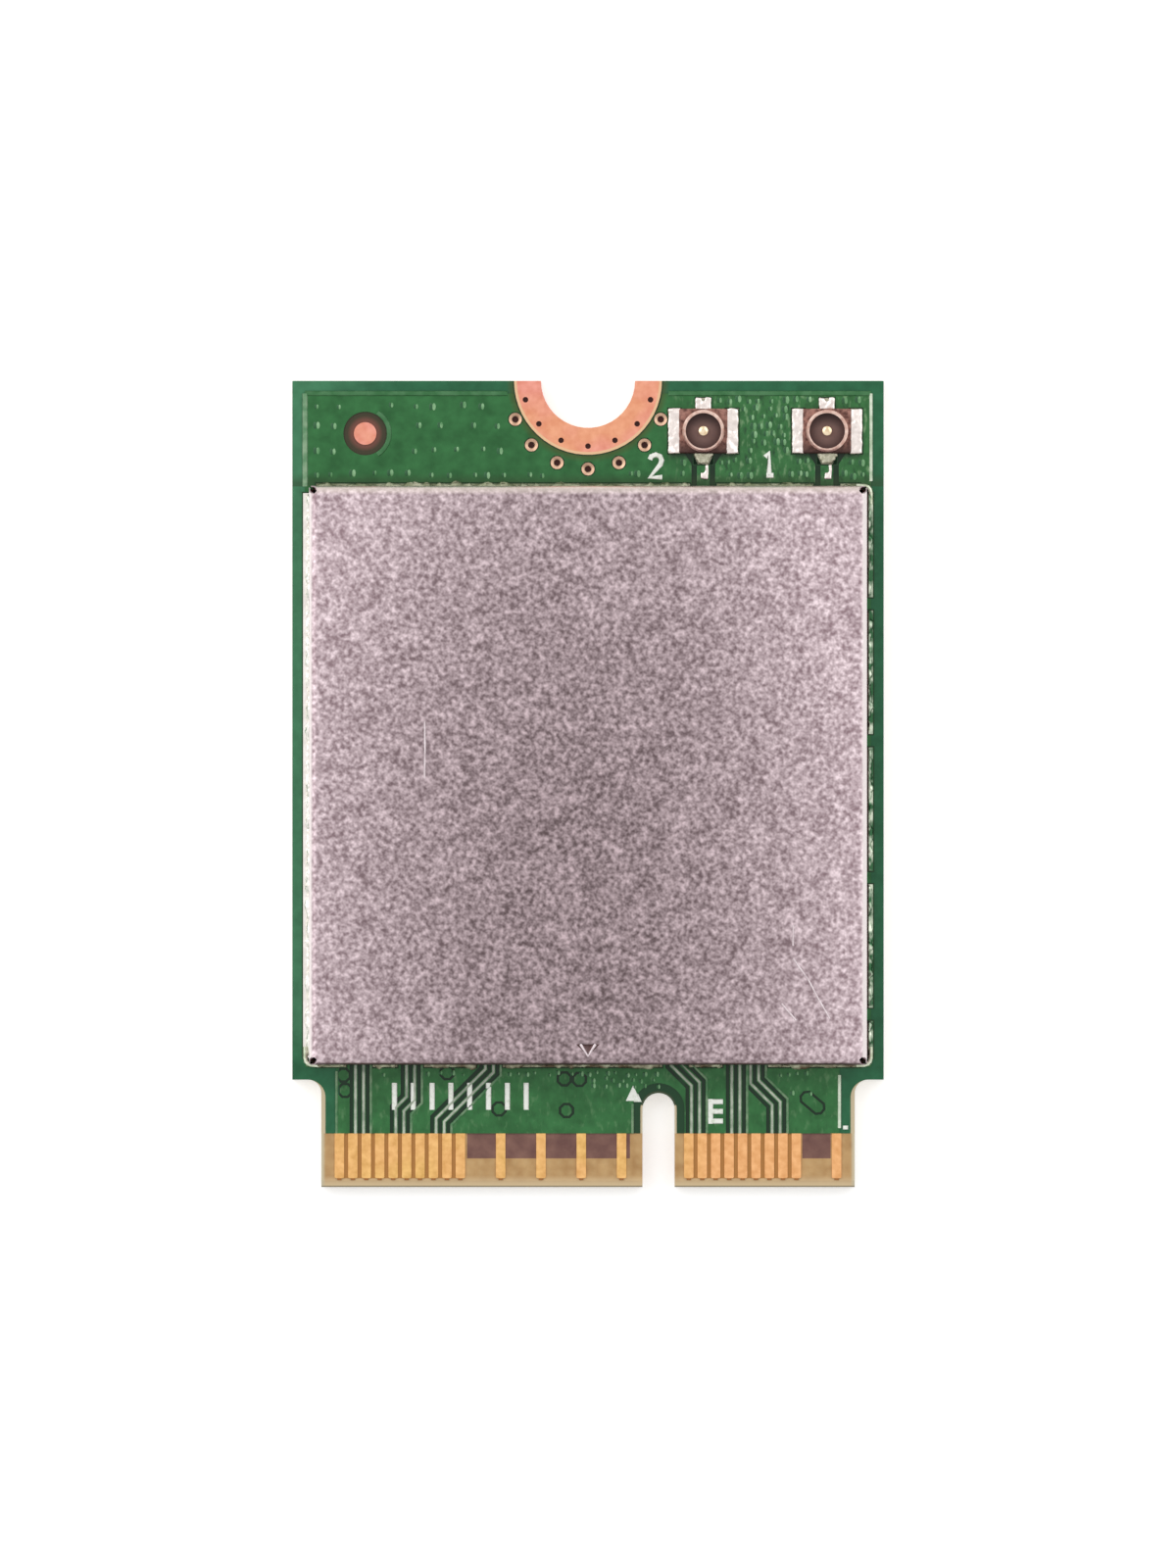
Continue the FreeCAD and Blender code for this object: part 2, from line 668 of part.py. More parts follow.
def shield_can():
    outer = rounded_top(CAN_HALF, CAN_HALF_LENGTH, CAN_HEIGHT, CAN_BEND_RADIUS)
    inner = rounded_top(CAN_HALF - CAN_SHEET, CAN_HALF_LENGTH - CAN_SHEET, CAN_HEIGHT - CAN_SHEET,
                        CAN_BEND_RADIUS - CAN_SHEET)
    cuts = [inner, index_mark()]
    cuts += [passage(x, CAN_FRONT) for x in front_passages()]
    cuts += [passage(x, CAN_BACK) for x in PORT_X.values()]
    cuts += [corner_relief(side_x, side_y) for side_x in (-1, 1) for side_y in (-1, 1)]
    return outer.cut(cuts)


def turned(points):
    """Solid of revolution from a profile of (radius, height) steps as in an outline"""
    face = outline(points[0], points[1:] + [points[0]])
    face.rotate(CENTRE, Vector(1, 0, 0), 90)
    return face.revolve(CENTRE, UP, 360)


def port_shell():
    """Drawn ring widening to a snap lip, on two side legs and a back leg, open for the signal foot"""
    bore = PORT_RING_RADIUS - PORT_LIP_STEP - PORT_RING_WALL
    neck = PORT_RING_RADIUS - PORT_LIP_STEP
    top = PORT_RING_HEIGHT
    inside = [(bore - PORT_RING_DRAFT, 0), (bore, PORT_BLOCK_HEIGHT), (bore, top)]
    outside = [
        (PORT_RING_RADIUS - PORT_LIP_BEVEL, top),
        (PORT_RING_RADIUS, top - PORT_LIP_BEVEL),
        (PORT_RING_RADIUS, top - PORT_LIP_HEIGHT),
        (neck, PORT_BLOCK_HEIGHT),
        (neck - PORT_RING_DRAFT, 0),
    ]
    ring = turned(inside + outside)
    hollow = turned([(0, 0)] + inside + [(0, top)])
    reach_x = PORT_BLOCK_WIDTH / 2 + PORT_LEG_REACH
    reach_y = PORT_BLOCK_DEPTH / 2 + PORT_LEG_REACH
    leg_half = PORT_SIDE_LEG_WIDTH / 2
    back_half = PORT_BACK_LEG_WIDTH / 2
    legs = box((-reach_x, reach_x), (-leg_half, leg_half), (0, PORT_LEG_THICKNESS))
    back = box((-back_half, back_half), (0, reach_y), (0, PORT_LEG_THICKNESS))
    window = box((-PORT_FOOT_WINDOW_WIDTH / 2, PORT_FOOT_WINDOW_WIDTH / 2), (-reach_y, 0),
                 (0, PORT_FOOT_WINDOW_HEIGHT))
    return joined([ring, legs, back]).cut([hollow, window])


def port_pin():
    """Turned centre pin with a tapered tip on a flat foot"""
    shoulder = PORT_PIN_HEIGHT - PORT_PIN_TAPER
    crown = PORT_PIN_RADIUS / 2
    pin = turned([
        (0, 0),
        (PORT_PIN_RADIUS, 0),
        (PORT_PIN_RADIUS, shoulder),
        (crown, PORT_PIN_HEIGHT),
        (0, PORT_PIN_HEIGHT),
    ])
    half = PORT_FOOT_WIDTH / 2
    foot = box((-half, half), (-PORT_BLOCK_DEPTH / 2 - PORT_LEG_REACH, 0), (0, PORT_FOOT_THICKNESS))
    return pin.fuse(foot).removeSplitter()


def port_insulator():
    """Moulded block round the legs, the ring's foot and the pin"""
    half_x = PORT_BLOCK_WIDTH / 2
    half_y = PORT_BLOCK_DEPTH / 2
    block = box((-half_x, half_x), (-half_y, half_y), (0, PORT_BLOCK_HEIGHT))
    edges = [edge for edge in block.Edges if edge.BoundBox.ZMax > PORT_BLOCK_HEIGHT / 2]
    block = block.makeChamfer(PORT_BLOCK_EDGE, edges)
    return block.cut([port_shell(), port_pin()])


def port_solder(name):
    return Part.Compound([box(*land, (LAMINATE_TOP, SEAT)) for land in port_lands(name)])


def package(size):
    """Moulded chip body on its standoff, with a bevelled top edge and a dot at its first corner"""
    length, width, height = size
    body = box((-length / 2, length / 2), (-width / 2, width / 2), (SEAT + PACKAGE_STANDOFF, SEAT + height))
    upper = [edge for edge in body.Edges if edge.BoundBox.ZMin > SEAT + height / 2]
    body = body.makeChamfer(PACKAGE_EDGE, upper)
    dot_inset = 2 * DOT_RADIUS + PACKAGE_EDGE
    dot = small_round(dot_inset - length / 2, width / 2 - dot_inset, DOT_RADIUS,
                      (SEAT + height - DOT_DEPTH, SEAT + height))
    return body.cut(dot)


def package_terminals(size, pitch):
    """Rows of flat terminals under the four edges of a chip, and the square pad under its middle"""
    length, width, _ = size
    height = (SEAT, SEAT + PACKAGE_STANDOFF)
    half = pitch * TERMINAL_SHARE / 2
    solids = []
    for turn in (0, 90, 180, 270):
        along, across = (length, width) if turn % 180 == 0 else (width, length)
        count = int((along - 2 * TERMINAL_LENGTH - pitch) / pitch)
        for index in range(count):
            x = (index - (count - 1) / 2) * pitch
            terminal = box((x - half, x + half), (-across / 2, -across / 2 + TERMINAL_LENGTH), height)
            solids.append(moved(terminal, 0, 0, turn_deg=turn))
    pad_x = length / 2 - 2 * TERMINAL_LENGTH
    pad_y = width / 2 - 2 * TERMINAL_LENGTH
    solids.append(box((-pad_x, pad_x), (-pad_y, pad_y), height))
    return Part.Compound(solids)


def chip_body(size, cap):
    """Middle of a two-ended part, between its metal caps"""
    length, width, height = size
    return box((cap - length / 2, length / 2 - cap), (-width / 2, width / 2),
               (SEAT + CAP_OVERHANG, SEAT + height - CAP_OVERHANG))


def chip_caps(size, cap):
    length, width, height = size
    half = width / 2 + CAP_OVERHANG
    cap_end = box((length / 2 - cap, length / 2), (-half, half), (SEAT, SEAT + height))
    return Part.Compound([cap_end, moved(cap_end, 0, 0, turn_deg=180)])


def at_places(shape, places):
    """Copies of a shape at (x, y, turn) places, as one group"""
    return Part.Compound([moved(shape, x, y, turn_deg=turn) for x, y, turn in places])


def front_end_places():
    right = CAN_HALF - FRONT_END_FROM_SIDE
    y = CAN_BACK - FRONT_END_FROM_BACK
    return [(right, y, 0), (right - FRONT_END_SPACING, y, 0)]


def diplexer_places():
    return [(x, CAN_BACK - DIPLEXER_FROM_BACK, 90) for x, _, _ in front_end_places()]


def inductor_places():
    left = INDUCTOR_FROM_SIDE - CAN_HALF
    y = CAN_FRONT + INDUCTOR_FROM_FRONT
    return [(left, y, 90), (left + INDUCTOR_SPACING, y, 90)]


def capacitor_places():
    """One row in front of the wireless chip and one behind it"""
    distance = WIRELESS_SIZE[1] / 2 + CAPACITOR_ROW_GAP + CAPACITOR_SIZE[1] / 2
    places = []
    for side in (-1, 1):
        for index in range(CAPACITORS_PER_ROW):
            x = (index - (CAPACITORS_PER_ROW - 1) / 2) * CAPACITOR_STEP
            places.append((x, CAN_MIDDLE + WIRELESS_OFFSET_Y + side * distance, 0))
    return places


def resistor_places():
    """One column on each side of the wireless chip"""
    distance = WIRELESS_SIZE[0] / 2 + RESISTOR_COLUMN_GAP
    places = []
    for side in (-1, 1):
        for index in range(RESISTORS_PER_COLUMN):
            y = (index - (RESISTORS_PER_COLUMN - 1) / 2) * RESISTOR_STEP
            places.append((side * distance, CAN_MIDDLE + WIRELESS_OFFSET_Y + y, 0))
    return places


def inner_nodes():
    """Everything under the can"""
    wireless = [(0, CAN_MIDDLE + WIRELESS_OFFSET_Y, 0)]
    flash = [(CAN_HALF - FLASH_FROM_SIDE, CAN_FRONT + FLASH_FROM_FRONT, 0)]
    regulator = [(REGULATOR_FROM_SIDE - CAN_HALF, CAN_FRONT + REGULATOR_FROM_FRONT, 0)]
    crystal_x = CRYSTAL_FROM_SIDE - CAN_HALF
    crystal_y = CAN_BACK - CRYSTAL_FROM_BACK
    length, width, height = CRYSTAL_SIZE
    lid_x = length / 2 - CRYSTAL_LID_INSET
    lid_y = width / 2 - CRYSTAL_LID_INSET
    base = box((-length / 2, length / 2), (-width / 2, width / 2), (SEAT, SEAT + height))
    lid = box((-lid_x, lid_x), (-lid_y, lid_y), (SEAT + height, SEAT + height + CRYSTAL_LID_HEIGHT))
    nodes = {
        "wireless_chip": at_places(package(WIRELESS_SIZE), wireless),
        "wireless_chip_terminals": at_places(package_terminals(WIRELESS_SIZE, WIRELESS_PITCH), wireless),
        "front_end_terminals": at_places(package_terminals(FRONT_END_SIZE, FRONT_END_PITCH),
                                         front_end_places()),
        "diplexer_terminals": at_places(chip_caps(DIPLEXER_SIZE, CAPACITOR_CAP), diplexer_places()),
        "inductor_terminals": at_places(chip_caps(INDUCTOR_SIZE, INDUCTOR_CAP), inductor_places()),
        "flash_chip": at_places(package(FLASH_SIZE), flash),
        "flash_terminals": at_places(package_terminals(FLASH_SIZE, FLASH_PITCH), flash),
        "regulator_chip": at_places(package(REGULATOR_SIZE), regulator),
        "regulator_terminals": at_places(package_terminals(REGULATOR_SIZE, REGULATOR_PITCH), regulator),
        "crystal_base": moved(base, crystal_x, crystal_y),
        "crystal_lid": moved(lid, crystal_x, crystal_y),
        "capacitor_bodies": at_places(chip_body(CAPACITOR_SIZE, CAPACITOR_CAP), capacitor_places()),
        "capacitor_terminals": at_places(chip_caps(CAPACITOR_SIZE, CAPACITOR_CAP), capacitor_places()),
        "resistor_bodies": at_places(chip_body(RESISTOR_SIZE, RESISTOR_CAP), resistor_places()),
        "resistor_terminals": at_places(chip_caps(RESISTOR_SIZE, RESISTOR_CAP), resistor_places()),
    }
    for number in (1, 2):
        nodes[f"front_end_module_{number}"] = at_places(package(FRONT_END_SIZE),
                                                        [front_end_places()[number - 1]])
        nodes[f"diplexer_{number}"] = at_places(chip_body(DIPLEXER_SIZE, CAPACITOR_CAP),
                                                [diplexer_places()[number - 1]])
        nodes[f"power_inductor_{number}"] = at_places(chip_body(INDUCTOR_SIZE, INDUCTOR_CAP),
                                                      [inductor_places()[number - 1]])
    return nodes


def all_nodes():
    nodes = {
        "circuit_board": circuit_board(),
        "solder_mask": solder_mask(),
        "top_contacts": top_contacts(),
        "bottom_contacts": bottom_contacts(),
        "ground_ring": ground_ring(),
        "stitching_vias": stitching_vias(),
        "fiducial_mark": fiducial_mark(),
        "shield_land": shield_land(),
        "shield_solder": shield_solder(),
        "shield_can": shield_can(),
    }
    for name, x in PORT_X.items():
        nodes[f"{name}_shell"] = moved(port_shell(), x, PORT_Y, SEAT)
        nodes[f"{name}_pin"] = moved(port_pin(), x, PORT_Y, SEAT)
        nodes[f"{name}_insulator"] = moved(port_insulator(), x, PORT_Y, SEAT)
        nodes[f"{name}_solder"] = port_solder(name)
    nodes.update(inner_nodes())
    return nodes


os.makedirs("parts", exist_ok=True)
for node, shape in all_nodes().items():
    shape.exportStep(os.path.join("parts", f"{node}.step"))
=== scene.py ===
import bpy
import math
import random
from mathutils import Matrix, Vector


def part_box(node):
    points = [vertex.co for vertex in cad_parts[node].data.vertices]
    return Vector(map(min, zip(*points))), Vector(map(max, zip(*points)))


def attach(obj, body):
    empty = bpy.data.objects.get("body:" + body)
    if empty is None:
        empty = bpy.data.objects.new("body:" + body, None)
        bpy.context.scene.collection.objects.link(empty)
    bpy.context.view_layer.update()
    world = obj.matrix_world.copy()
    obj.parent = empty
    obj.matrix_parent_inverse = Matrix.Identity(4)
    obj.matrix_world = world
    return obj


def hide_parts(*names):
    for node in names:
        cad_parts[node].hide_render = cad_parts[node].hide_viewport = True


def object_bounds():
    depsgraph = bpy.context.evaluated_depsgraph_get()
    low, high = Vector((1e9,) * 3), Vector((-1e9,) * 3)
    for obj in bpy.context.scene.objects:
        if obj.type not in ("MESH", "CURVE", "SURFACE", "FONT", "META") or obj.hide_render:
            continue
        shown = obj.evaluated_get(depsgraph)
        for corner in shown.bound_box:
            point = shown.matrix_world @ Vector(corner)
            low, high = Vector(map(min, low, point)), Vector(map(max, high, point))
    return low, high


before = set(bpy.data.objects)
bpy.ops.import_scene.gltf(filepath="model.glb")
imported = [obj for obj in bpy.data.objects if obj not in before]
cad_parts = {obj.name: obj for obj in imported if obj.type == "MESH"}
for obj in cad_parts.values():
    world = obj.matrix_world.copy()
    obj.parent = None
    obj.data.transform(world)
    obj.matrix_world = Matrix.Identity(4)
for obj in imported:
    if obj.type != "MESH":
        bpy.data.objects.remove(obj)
cad_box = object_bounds()

# Circuit board: woven glass cloth set in epoxy and pressed to a thin sheet, routed to shape and bevelled at
# the contact edge. The bare tongue shows the cloth and, between contacts, dark copper from inside the sheet;
# the narrow gaps between neighbouring contacts carry painted shade, and the fiducial's window a painted
# shadow towards its edge. Its underside is lacquered green.
MM = 0.001
BOARD_TIP, BOARD_END = cad_box[0][1], cad_box[1][1]
LAMINATE_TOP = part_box("circuit_board")[1][2]
UPPER_PART = 0.6 * MM
UNDERSIDE_LACQUER = 0.02 * MM
UNDERSIDE_DRIFT = 3 * MM
CLOTH_SPACING = 0.42 * MM
CLOTH_WANDER = 0.6
CLOTH_SHARE = 0.3
RESIN_CLOUD = 0.6 * MM
# A wave texture at scale 1 turns 20 radians in a unit. Nearly all of a noise lies in the first span below,
# and the second span gives more contrast.
WAVE_RADIANS = 20
CLOUD_SPAN = (0.3, 0.7)
SHARP_SPAN = (0.35, 0.65)
TONGUE_HALF = 9.925 * MM
ROUTED_EDGE = (TONGUE_HALF - 0.16 * MM, TONGUE_HALF - 0.04 * MM)
PALE_TIP = (BOARD_TIP + 0.45 * MM, BOARD_TIP + 0.1 * MM)
TIP_FACE = BOARD_TIP + 0.05 * MM
SHOULDER = -11.0 * MM
KEY_MIDDLE = 2.625 * MM
KEY_ARCH, KEY_ARCH_HALF = -11.95 * MM, 1.2 * MM
CONTACT_TIP, CONTACT_ROOT = -14.67 * MM, -13.0 * MM
CONTACT_BLOCKS = ((-9.4 * MM, -4.6 * MM), (3.6 * MM, 7.9 * MM))
INNER_COPPER_START = -13.93 * MM
INNER_COPPER_SPANS = ((-4.5 * MM, 1.56 * MM), (7.97 * MM, 9.03 * MM))
FIDUCIAL = (-8.29 * MM, 13.04 * MM)
WINDOW_SHADE = (0.5 * MM, 0.66 * MM)
WINDOW_FIELD = 0.9 * MM


def linear(colour):
    """An sRGB hex colour as linear red, green, blue and alpha"""
    channels = [int(colour[start:start + 2], 16) / 255 for start in (1, 3, 5)]
    return [c / 12.92 if c <= 0.04045 else ((c + 0.055) / 1.055) ** 2.4 for c in channels] + [1.0]


def add(tree, kind, *values, output=None, **settings):
    """Adds a shader node with its settings and gives one output: the named one, or else the first in use

    The values go to the inputs in use, in order, such as a noise's place, scale and detail. Each is a link
    from a socket, a hex colour, a number or a vector."""
    made = tree.nodes.new("ShaderNode" + kind)
    for setting, value in settings.items():
        setattr(made, setting, value)
    for socket, value in zip([socket for socket in made.inputs if socket.enabled], values):
        if isinstance(value, bpy.types.NodeSocket):
            tree.links.new(value, socket)
        else:
            socket.default_value = linear(value) if isinstance(value, str) else value
    return made.outputs[output] if output else next(socket for socket in made.outputs if socket.enabled)


def product(tree, first, *others):
    """Product of amounts, such as masks that all have to hold"""
    for other in others:
        first = add(tree, "Math", first, other, operation="MULTIPLY")
    return first


def between(tree, value, low, high):
    """1 where a value lies between two limits, else 0"""
    above = add(tree, "Math", value, low, operation="GREATER_THAN")
    below = add(tree, "Math", value, high, operation="LESS_THAN")
    return product(tree, above, below)


def any_span(tree, value, spans):
    """1 where a value lies in one of two spans, else 0"""
    return add(tree, "Math", *[between(tree, value, *span) for span in spans], operation="ADD")


def distance_from(tree, value, line):
    """How far a value lies from a line, to either side"""
    return add(tree, "Math", add(tree, "Math", value, line, operation="SUBTRACT"), operation="ABSOLUTE")


def lay_over(tree, colour, *coats):
    """Lays coats over a colour in turn, each an amount from 0 to 1 and its own colour"""
    for amount, coat in coats:
        colour = add(tree, "Mix", amount, colour, coat, data_type="RGBA")
    return colour


def new_material(name, **surface):
    """A material with its tree, shader and Object coordinates, and constant values such as Roughness=0.4"""
    made = bpy.data.materials.new(name)
    made.use_nodes = True
    tree = made.node_tree
    shader = tree.nodes["Principled BSDF"]
    for socket, value in surface.items():
        shader.inputs[socket.replace("_", " ")].default_value = value
    return made, tree, shader, add(tree, "TexCoord", output="Object")


def finish_surface(tree, shader, colour, height, strength, depth):
    """Links a colour and a bump of a real depth to the shader"""
    tree.links.new(colour, shader.inputs["Base Color"])
    bump = add(tree, "Bump", strength, depth)
    tree.links.new(height, bump.node.inputs["Height"])
    tree.links.new(bump, shader.inputs["Normal"])


def dress(names, made):
    """Gives CAD nodes a material"""
    for name in names:
        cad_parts[name].material_slots[0].material = made


def glass_epoxy():
    """Routed glass-epoxy sheet: tan resin, a faint square cloth, satin cut faces"""
    made, tree, shader, place = new_material("glass_epoxy", Roughness=0.45, Specular_IOR_Level=0.35)
    x, y, z = add(tree, "SeparateXYZ", place).node.outputs
    cloth_scale = math.tau / (CLOTH_SPACING * WAVE_RADIANS)
    cloth = [add(tree, "TexWave", place, cloth_scale, CLOTH_WANDER, output="Fac", bands_direction=side)
             for side in ("X", "Y")]
    weave = product(tree, *cloth)
    cloudy = add(tree, "TexNoise", place, 1 / RESIN_CLOUD, 4.0)
    clouds = add(tree, "MapRange", cloudy, *CLOUD_SPAN)
    pale_tip = add(tree, "MapRange", y, *PALE_TIP)
    routed = add(tree, "MapRange", add(tree, "Math", x, operation="ABSOLUTE"), *ROUTED_EDGE)
    tip_face = add(tree, "Math", y, TIP_FACE, operation="LESS_THAN")
    upper = add(tree, "Math", z, UPPER_PART, operation="GREATER_THAN")
    # Painted shade in the narrow gaps between neighbouring contacts.
    gaps = product(tree, between(tree, y, CONTACT_TIP, CONTACT_ROOT),
                   any_span(tree, x, CONTACT_BLOCKS), upper)
    past_contacts = add(tree, "Math", y, CONTACT_ROOT, operation="GREATER_THAN")
    at_key = add(tree, "Math", distance_from(tree, x, KEY_MIDDLE), KEY_ARCH_HALF, operation="LESS_THAN")
    arch = product(tree, between(tree, y, KEY_ARCH, SHOULDER), at_key, upper)
    lacquered = product(tree, add(tree, "Math", y, SHOULDER, operation="GREATER_THAN"), upper)
    inner = product(tree, between(tree, y, INNER_COPPER_START, CONTACT_ROOT),
                    any_span(tree, x, INNER_COPPER_SPANS), upper)
    inner_copper = lay_over(tree, "#6a4741", (clouds, "#876256"))
    # The fiducial's window darkens towards its edge: a painted shadow of the lacquer's edge.
    from_dot = add(tree, "VectorMath", place, (*FIDUCIAL, LAMINATE_TOP), operation="DISTANCE")
    in_window = add(tree, "Math", from_dot, WINDOW_FIELD, operation="LESS_THAN")
    window = lay_over(tree, "#70463a", (add(tree, "MapRange", from_dot, *WINDOW_SHADE), "#3a3420"))
    underside = add(tree, "Math", z, UNDERSIDE_LACQUER, operation="LESS_THAN")
    drift = add(tree, "MapRange", add(tree, "TexNoise", place, 1 / UNDERSIDE_DRIFT, 3.0), *SHARP_SPAN)
    green = lay_over(tree, "#19522a", (drift, lay_over(tree, "#1c5b2e", (cloudy, "#2a6d3b"))))
    colour = lay_over(tree, "#ae8554", (clouds, "#cba571"), (product(tree, weave, CLOTH_SHARE), "#cfb07e"),
                      (pale_tip, "#e0c69c"), (routed, "#d2c7a9"), (tip_face, "#8d8166"), (gaps, "#b27d40"),
                      (past_contacts, "#d0c09f"), (arch, "#3c4b31"), (lacquered, "#234a29"),
                      (inner, inner_copper), (in_window, window), (underside, green))
    finish_surface(tree, shader, colour, weave, strength=0.25, depth=0.01 * MM)
    return made


dress(["circuit_board"], glass_epoxy())

# Ground ring, stitching holes and fiducial: copper etched to shape, bare under a thin clear coat. Plated
# holes, plugged with dark resin, tie the ring and the small round pads to the layers inside the board.
COPPER_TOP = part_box("ground_ring")[1][2]
COPPER_GRAIN, COPPER_PATCH = 0.3 * MM, 1.5 * MM
COPPER_PATCH_SPAN = (0.38, 0.62)
RING_RADIUS = 2.75 * MM
RING_EDGE = 0.1 * MM
RING_HOLE_INSET = 0.32 * MM
RING_HOLE_STEP = math.radians(24.4)
STITCH_STEP = math.radians(20.7)
STITCH_GAP = 0.53 * MM
STITCH_PULL_IN = 0.22 * MM
STITCH_PAD_RADIUS = 0.24 * MM
HOLES_EACH_SIDE = 3
HOLE_RADIUS = 0.11 * MM
PLATING = 0.03 * MM
PLUG_PLAY = 0.004 * MM
PLUG_RIM, PLUG_DISH = 0.05 * MM, 0.02 * MM
RESIN_MOTTLE = 0.16 * MM
UPRIGHT = 0.9


def grained_metal(name, low, high, grain, roughness, depth):
    """Plated or bare metal whose fine grain shows as small changes of tone and of slope"""
    made, tree, shader, place = new_material(name, Metallic=1.0, Roughness=roughness)
    cloudy = add(tree, "TexNoise", place, 1 / grain, 3.0)
    colour = lay_over(tree, low, (add(tree, "MapRange", cloudy, *CLOUD_SPAN), high))
    finish_surface(tree, shader, colour, cloudy, strength=0.4, depth=depth)
    return made


def moulded_resin(name, low, high, roughness):
    """Moulded or fired body with a dull skin and a fine mottle"""
    made, tree, shader, place = new_material(name, Roughness=roughness, Specular_IOR_Level=0.35)
    mottle = add(tree, "TexNoise", place, 1 / RESIN_MOTTLE, 3.0)
    finish_surface(tree, shader, lay_over(tree, low, (mottle, high)), mottle, strength=0.2, depth=0.01 * MM)
    return made


def faces_up(face):
    return face.normal.z > UPRIGHT


def faces_down(face):
    return face.normal.z < -UPRIGHT


def pick_faces(piece, wanted):
    """Opens a piece for editing with only the faces that pass a test selected"""
    bpy.ops.object.mode_set(mode="EDIT")
    bpy.ops.mesh.select_mode(type="FACE")
    bpy.ops.mesh.select_all(action="DESELECT")
    bpy.ops.object.mode_set(mode="OBJECT")
    for face in piece.data.polygons:
        face.select = wanted(face)
    bpy.ops.object.mode_set(mode="EDIT")


def close_piece(piece, name, made):
    """Ends editing, puts the piece's place in its mesh, and names and dresses it"""
    bpy.ops.object.mode_set(mode="OBJECT")
    bpy.ops.object.transform_apply(location=True, rotation=True, scale=True)
    piece.name = name
    piece.data.materials.append(made)
    return piece


def scatter(model, places):
    """Copies a finished shape to each x, y and size as one piece, in place of the first"""
    bpy.ops.object.select_all(action="DESELECT")
    name = model.name
    for x, y, size in places:
        twin = bpy.data.objects.new(name, model.data.copy())
        twin.location = (x, y, 0)
        twin.scale = (size, size, 1)
        bpy.context.collection.objects.link(twin)
        twin.select_set(True)
        bpy.context.view_layer.objects.active = twin
    bpy.ops.object.join()
    bpy.ops.object.transform_apply(location=True, rotation=True, scale=True)
    bpy.data.objects.remove(model)
    piece = bpy.context.object
    piece.name = name
    return piece


def fit(piece):
    """Fixes a piece to the card"""
    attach(piece, "root")


def fan(step, radius_at):
    """An x, y and full size for each hole round the notch; the radius depends on the share of the way out"""
    places = []
    for index in range(-HOLES_EACH_SIDE, HOLES_EACH_SIDE + 1):
        radius = radius_at(abs(index) / HOLES_EACH_SIDE)
        places.append((radius * math.sin(index * step), BOARD_END - radius * math.cos(index * step), 1.0))
    return places


def from_axis(tree, place, x, y):
    """Distance from an upright axis"""
    flat = add(tree, "VectorMath", place, (1, 1, 0), operation="MULTIPLY")
    return add(tree, "VectorMath", flat, (x, y, 0), operation="DISTANCE")


def coated_copper():
    """Etched copper under a clear coat: pink and orange patches, paler where the ring's outer edge thins"""
    made, tree, shader, place = new_material("coated_copper", Metallic=1.0, Roughness=0.42)
    cloudy = add(tree, "TexNoise", place, 1 / COPPER_GRAIN, 3.0)
    clouds = add(tree, "MapRange", cloudy, *CLOUD_SPAN)
    patch = add(tree, "MapRange", add(tree, "TexNoise", place, 1 / COPPER_PATCH, 1.0), *COPPER_PATCH_SPAN)
    pink = lay_over(tree, "#d88977", (clouds, "#e79f8f"))
    from_notch = from_axis(tree, place, 0, BOARD_END)
    edge = between(tree, from_notch, RING_RADIUS - RING_EDGE, RING_RADIUS + RING_EDGE)
    colour = lay_over(tree, "#d8906e", (clouds, "#e5a482"), (patch, pink), (edge, "#dcb690"))
    finish_surface(tree, shader, colour, cloudy, strength=0.4, depth=0.012 * MM)
    return made


ring_holes = fan(RING_HOLE_STEP, lambda share: RING_RADIUS - RING_HOLE_INSET)
stitch_holes = fan(STITCH_STEP, lambda share: RING_RADIUS + STITCH_GAP - STITCH_PULL_IN * share ** 2)
pad_copper = grained_metal("coated_copper_pad", "#b28e76", "#d2b096",
                           grain=0.2 * MM, roughness=0.4, depth=0.012 * MM)
plug_resin = moulded_resin("plugging_resin", "#1c0805", "#42160d", roughness=0.8)
dress(["ground_ring", "fiducial_mark"], coated_copper())

bpy.ops.object.select_all(action="DESELECT")
bpy.ops.mesh.primitive_cylinder_add(vertices=20, radius=STITCH_PAD_RADIUS, depth=COPPER_TOP - LAMINATE_TOP,
                                    location=(0, 0, (COPPER_TOP + LAMINATE_TOP) / 2))
pad = bpy.context.object
pick_faces(pad, faces_up)
bpy.ops.mesh.inset(thickness=STITCH_PAD_RADIUS - HOLE_RADIUS)
bpy.ops.transform.translate(value=(0, 0, LAMINATE_TOP - COPPER_TOP))
pick_faces(pad, faces_down)
bpy.ops.mesh.inset(thickness=STITCH_PAD_RADIUS - HOLE_RADIUS - PLATING)
bpy.ops.mesh.extrude_region_move(TRANSFORM_OT_translate={"value": (0, 0, -LAMINATE_TOP)})
stitch_pads = scatter(close_piece(pad, "stitch_pads", pad_copper), stitch_holes)
fit(stitch_pads)
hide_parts("stitching_vias")

bpy.ops.object.select_all(action="DESELECT")
bpy.ops.mesh.primitive_cylinder_add(vertices=12, radius=HOLE_RADIUS, depth=COPPER_TOP - PLUG_PLAY,
                                    location=(0, 0, COPPER_TOP / 2))
plug = bpy.context.object
pick_faces(plug, faces_up)
bpy.ops.mesh.inset(thickness=PLUG_RIM)
bpy.ops.transform.translate(value=(0, 0, -PLUG_DISH))
hole_plugs = scatter(close_piece(plug, "hole_plugs", plug_resin), ring_holes + stitch_holes)
fit(hole_plugs)

# Edge contacts: copper bars plated with nickel and hard gold, satin and slightly orange. The stub of the
# plating tie at each tip is bare, brown copper.
TIE_STUB = -14.665 * MM
GOLD_GRAIN, GOLD_PATCH = 0.25 * MM, 2.2 * MM
GOLD_PATCH_SPAN, GOLD_PATCH_SHARE = (0.4, 0.6), 0.5
PINK_CONTACTS = (KEY_MIDDLE, KEY_MIDDLE + 2 * MM)


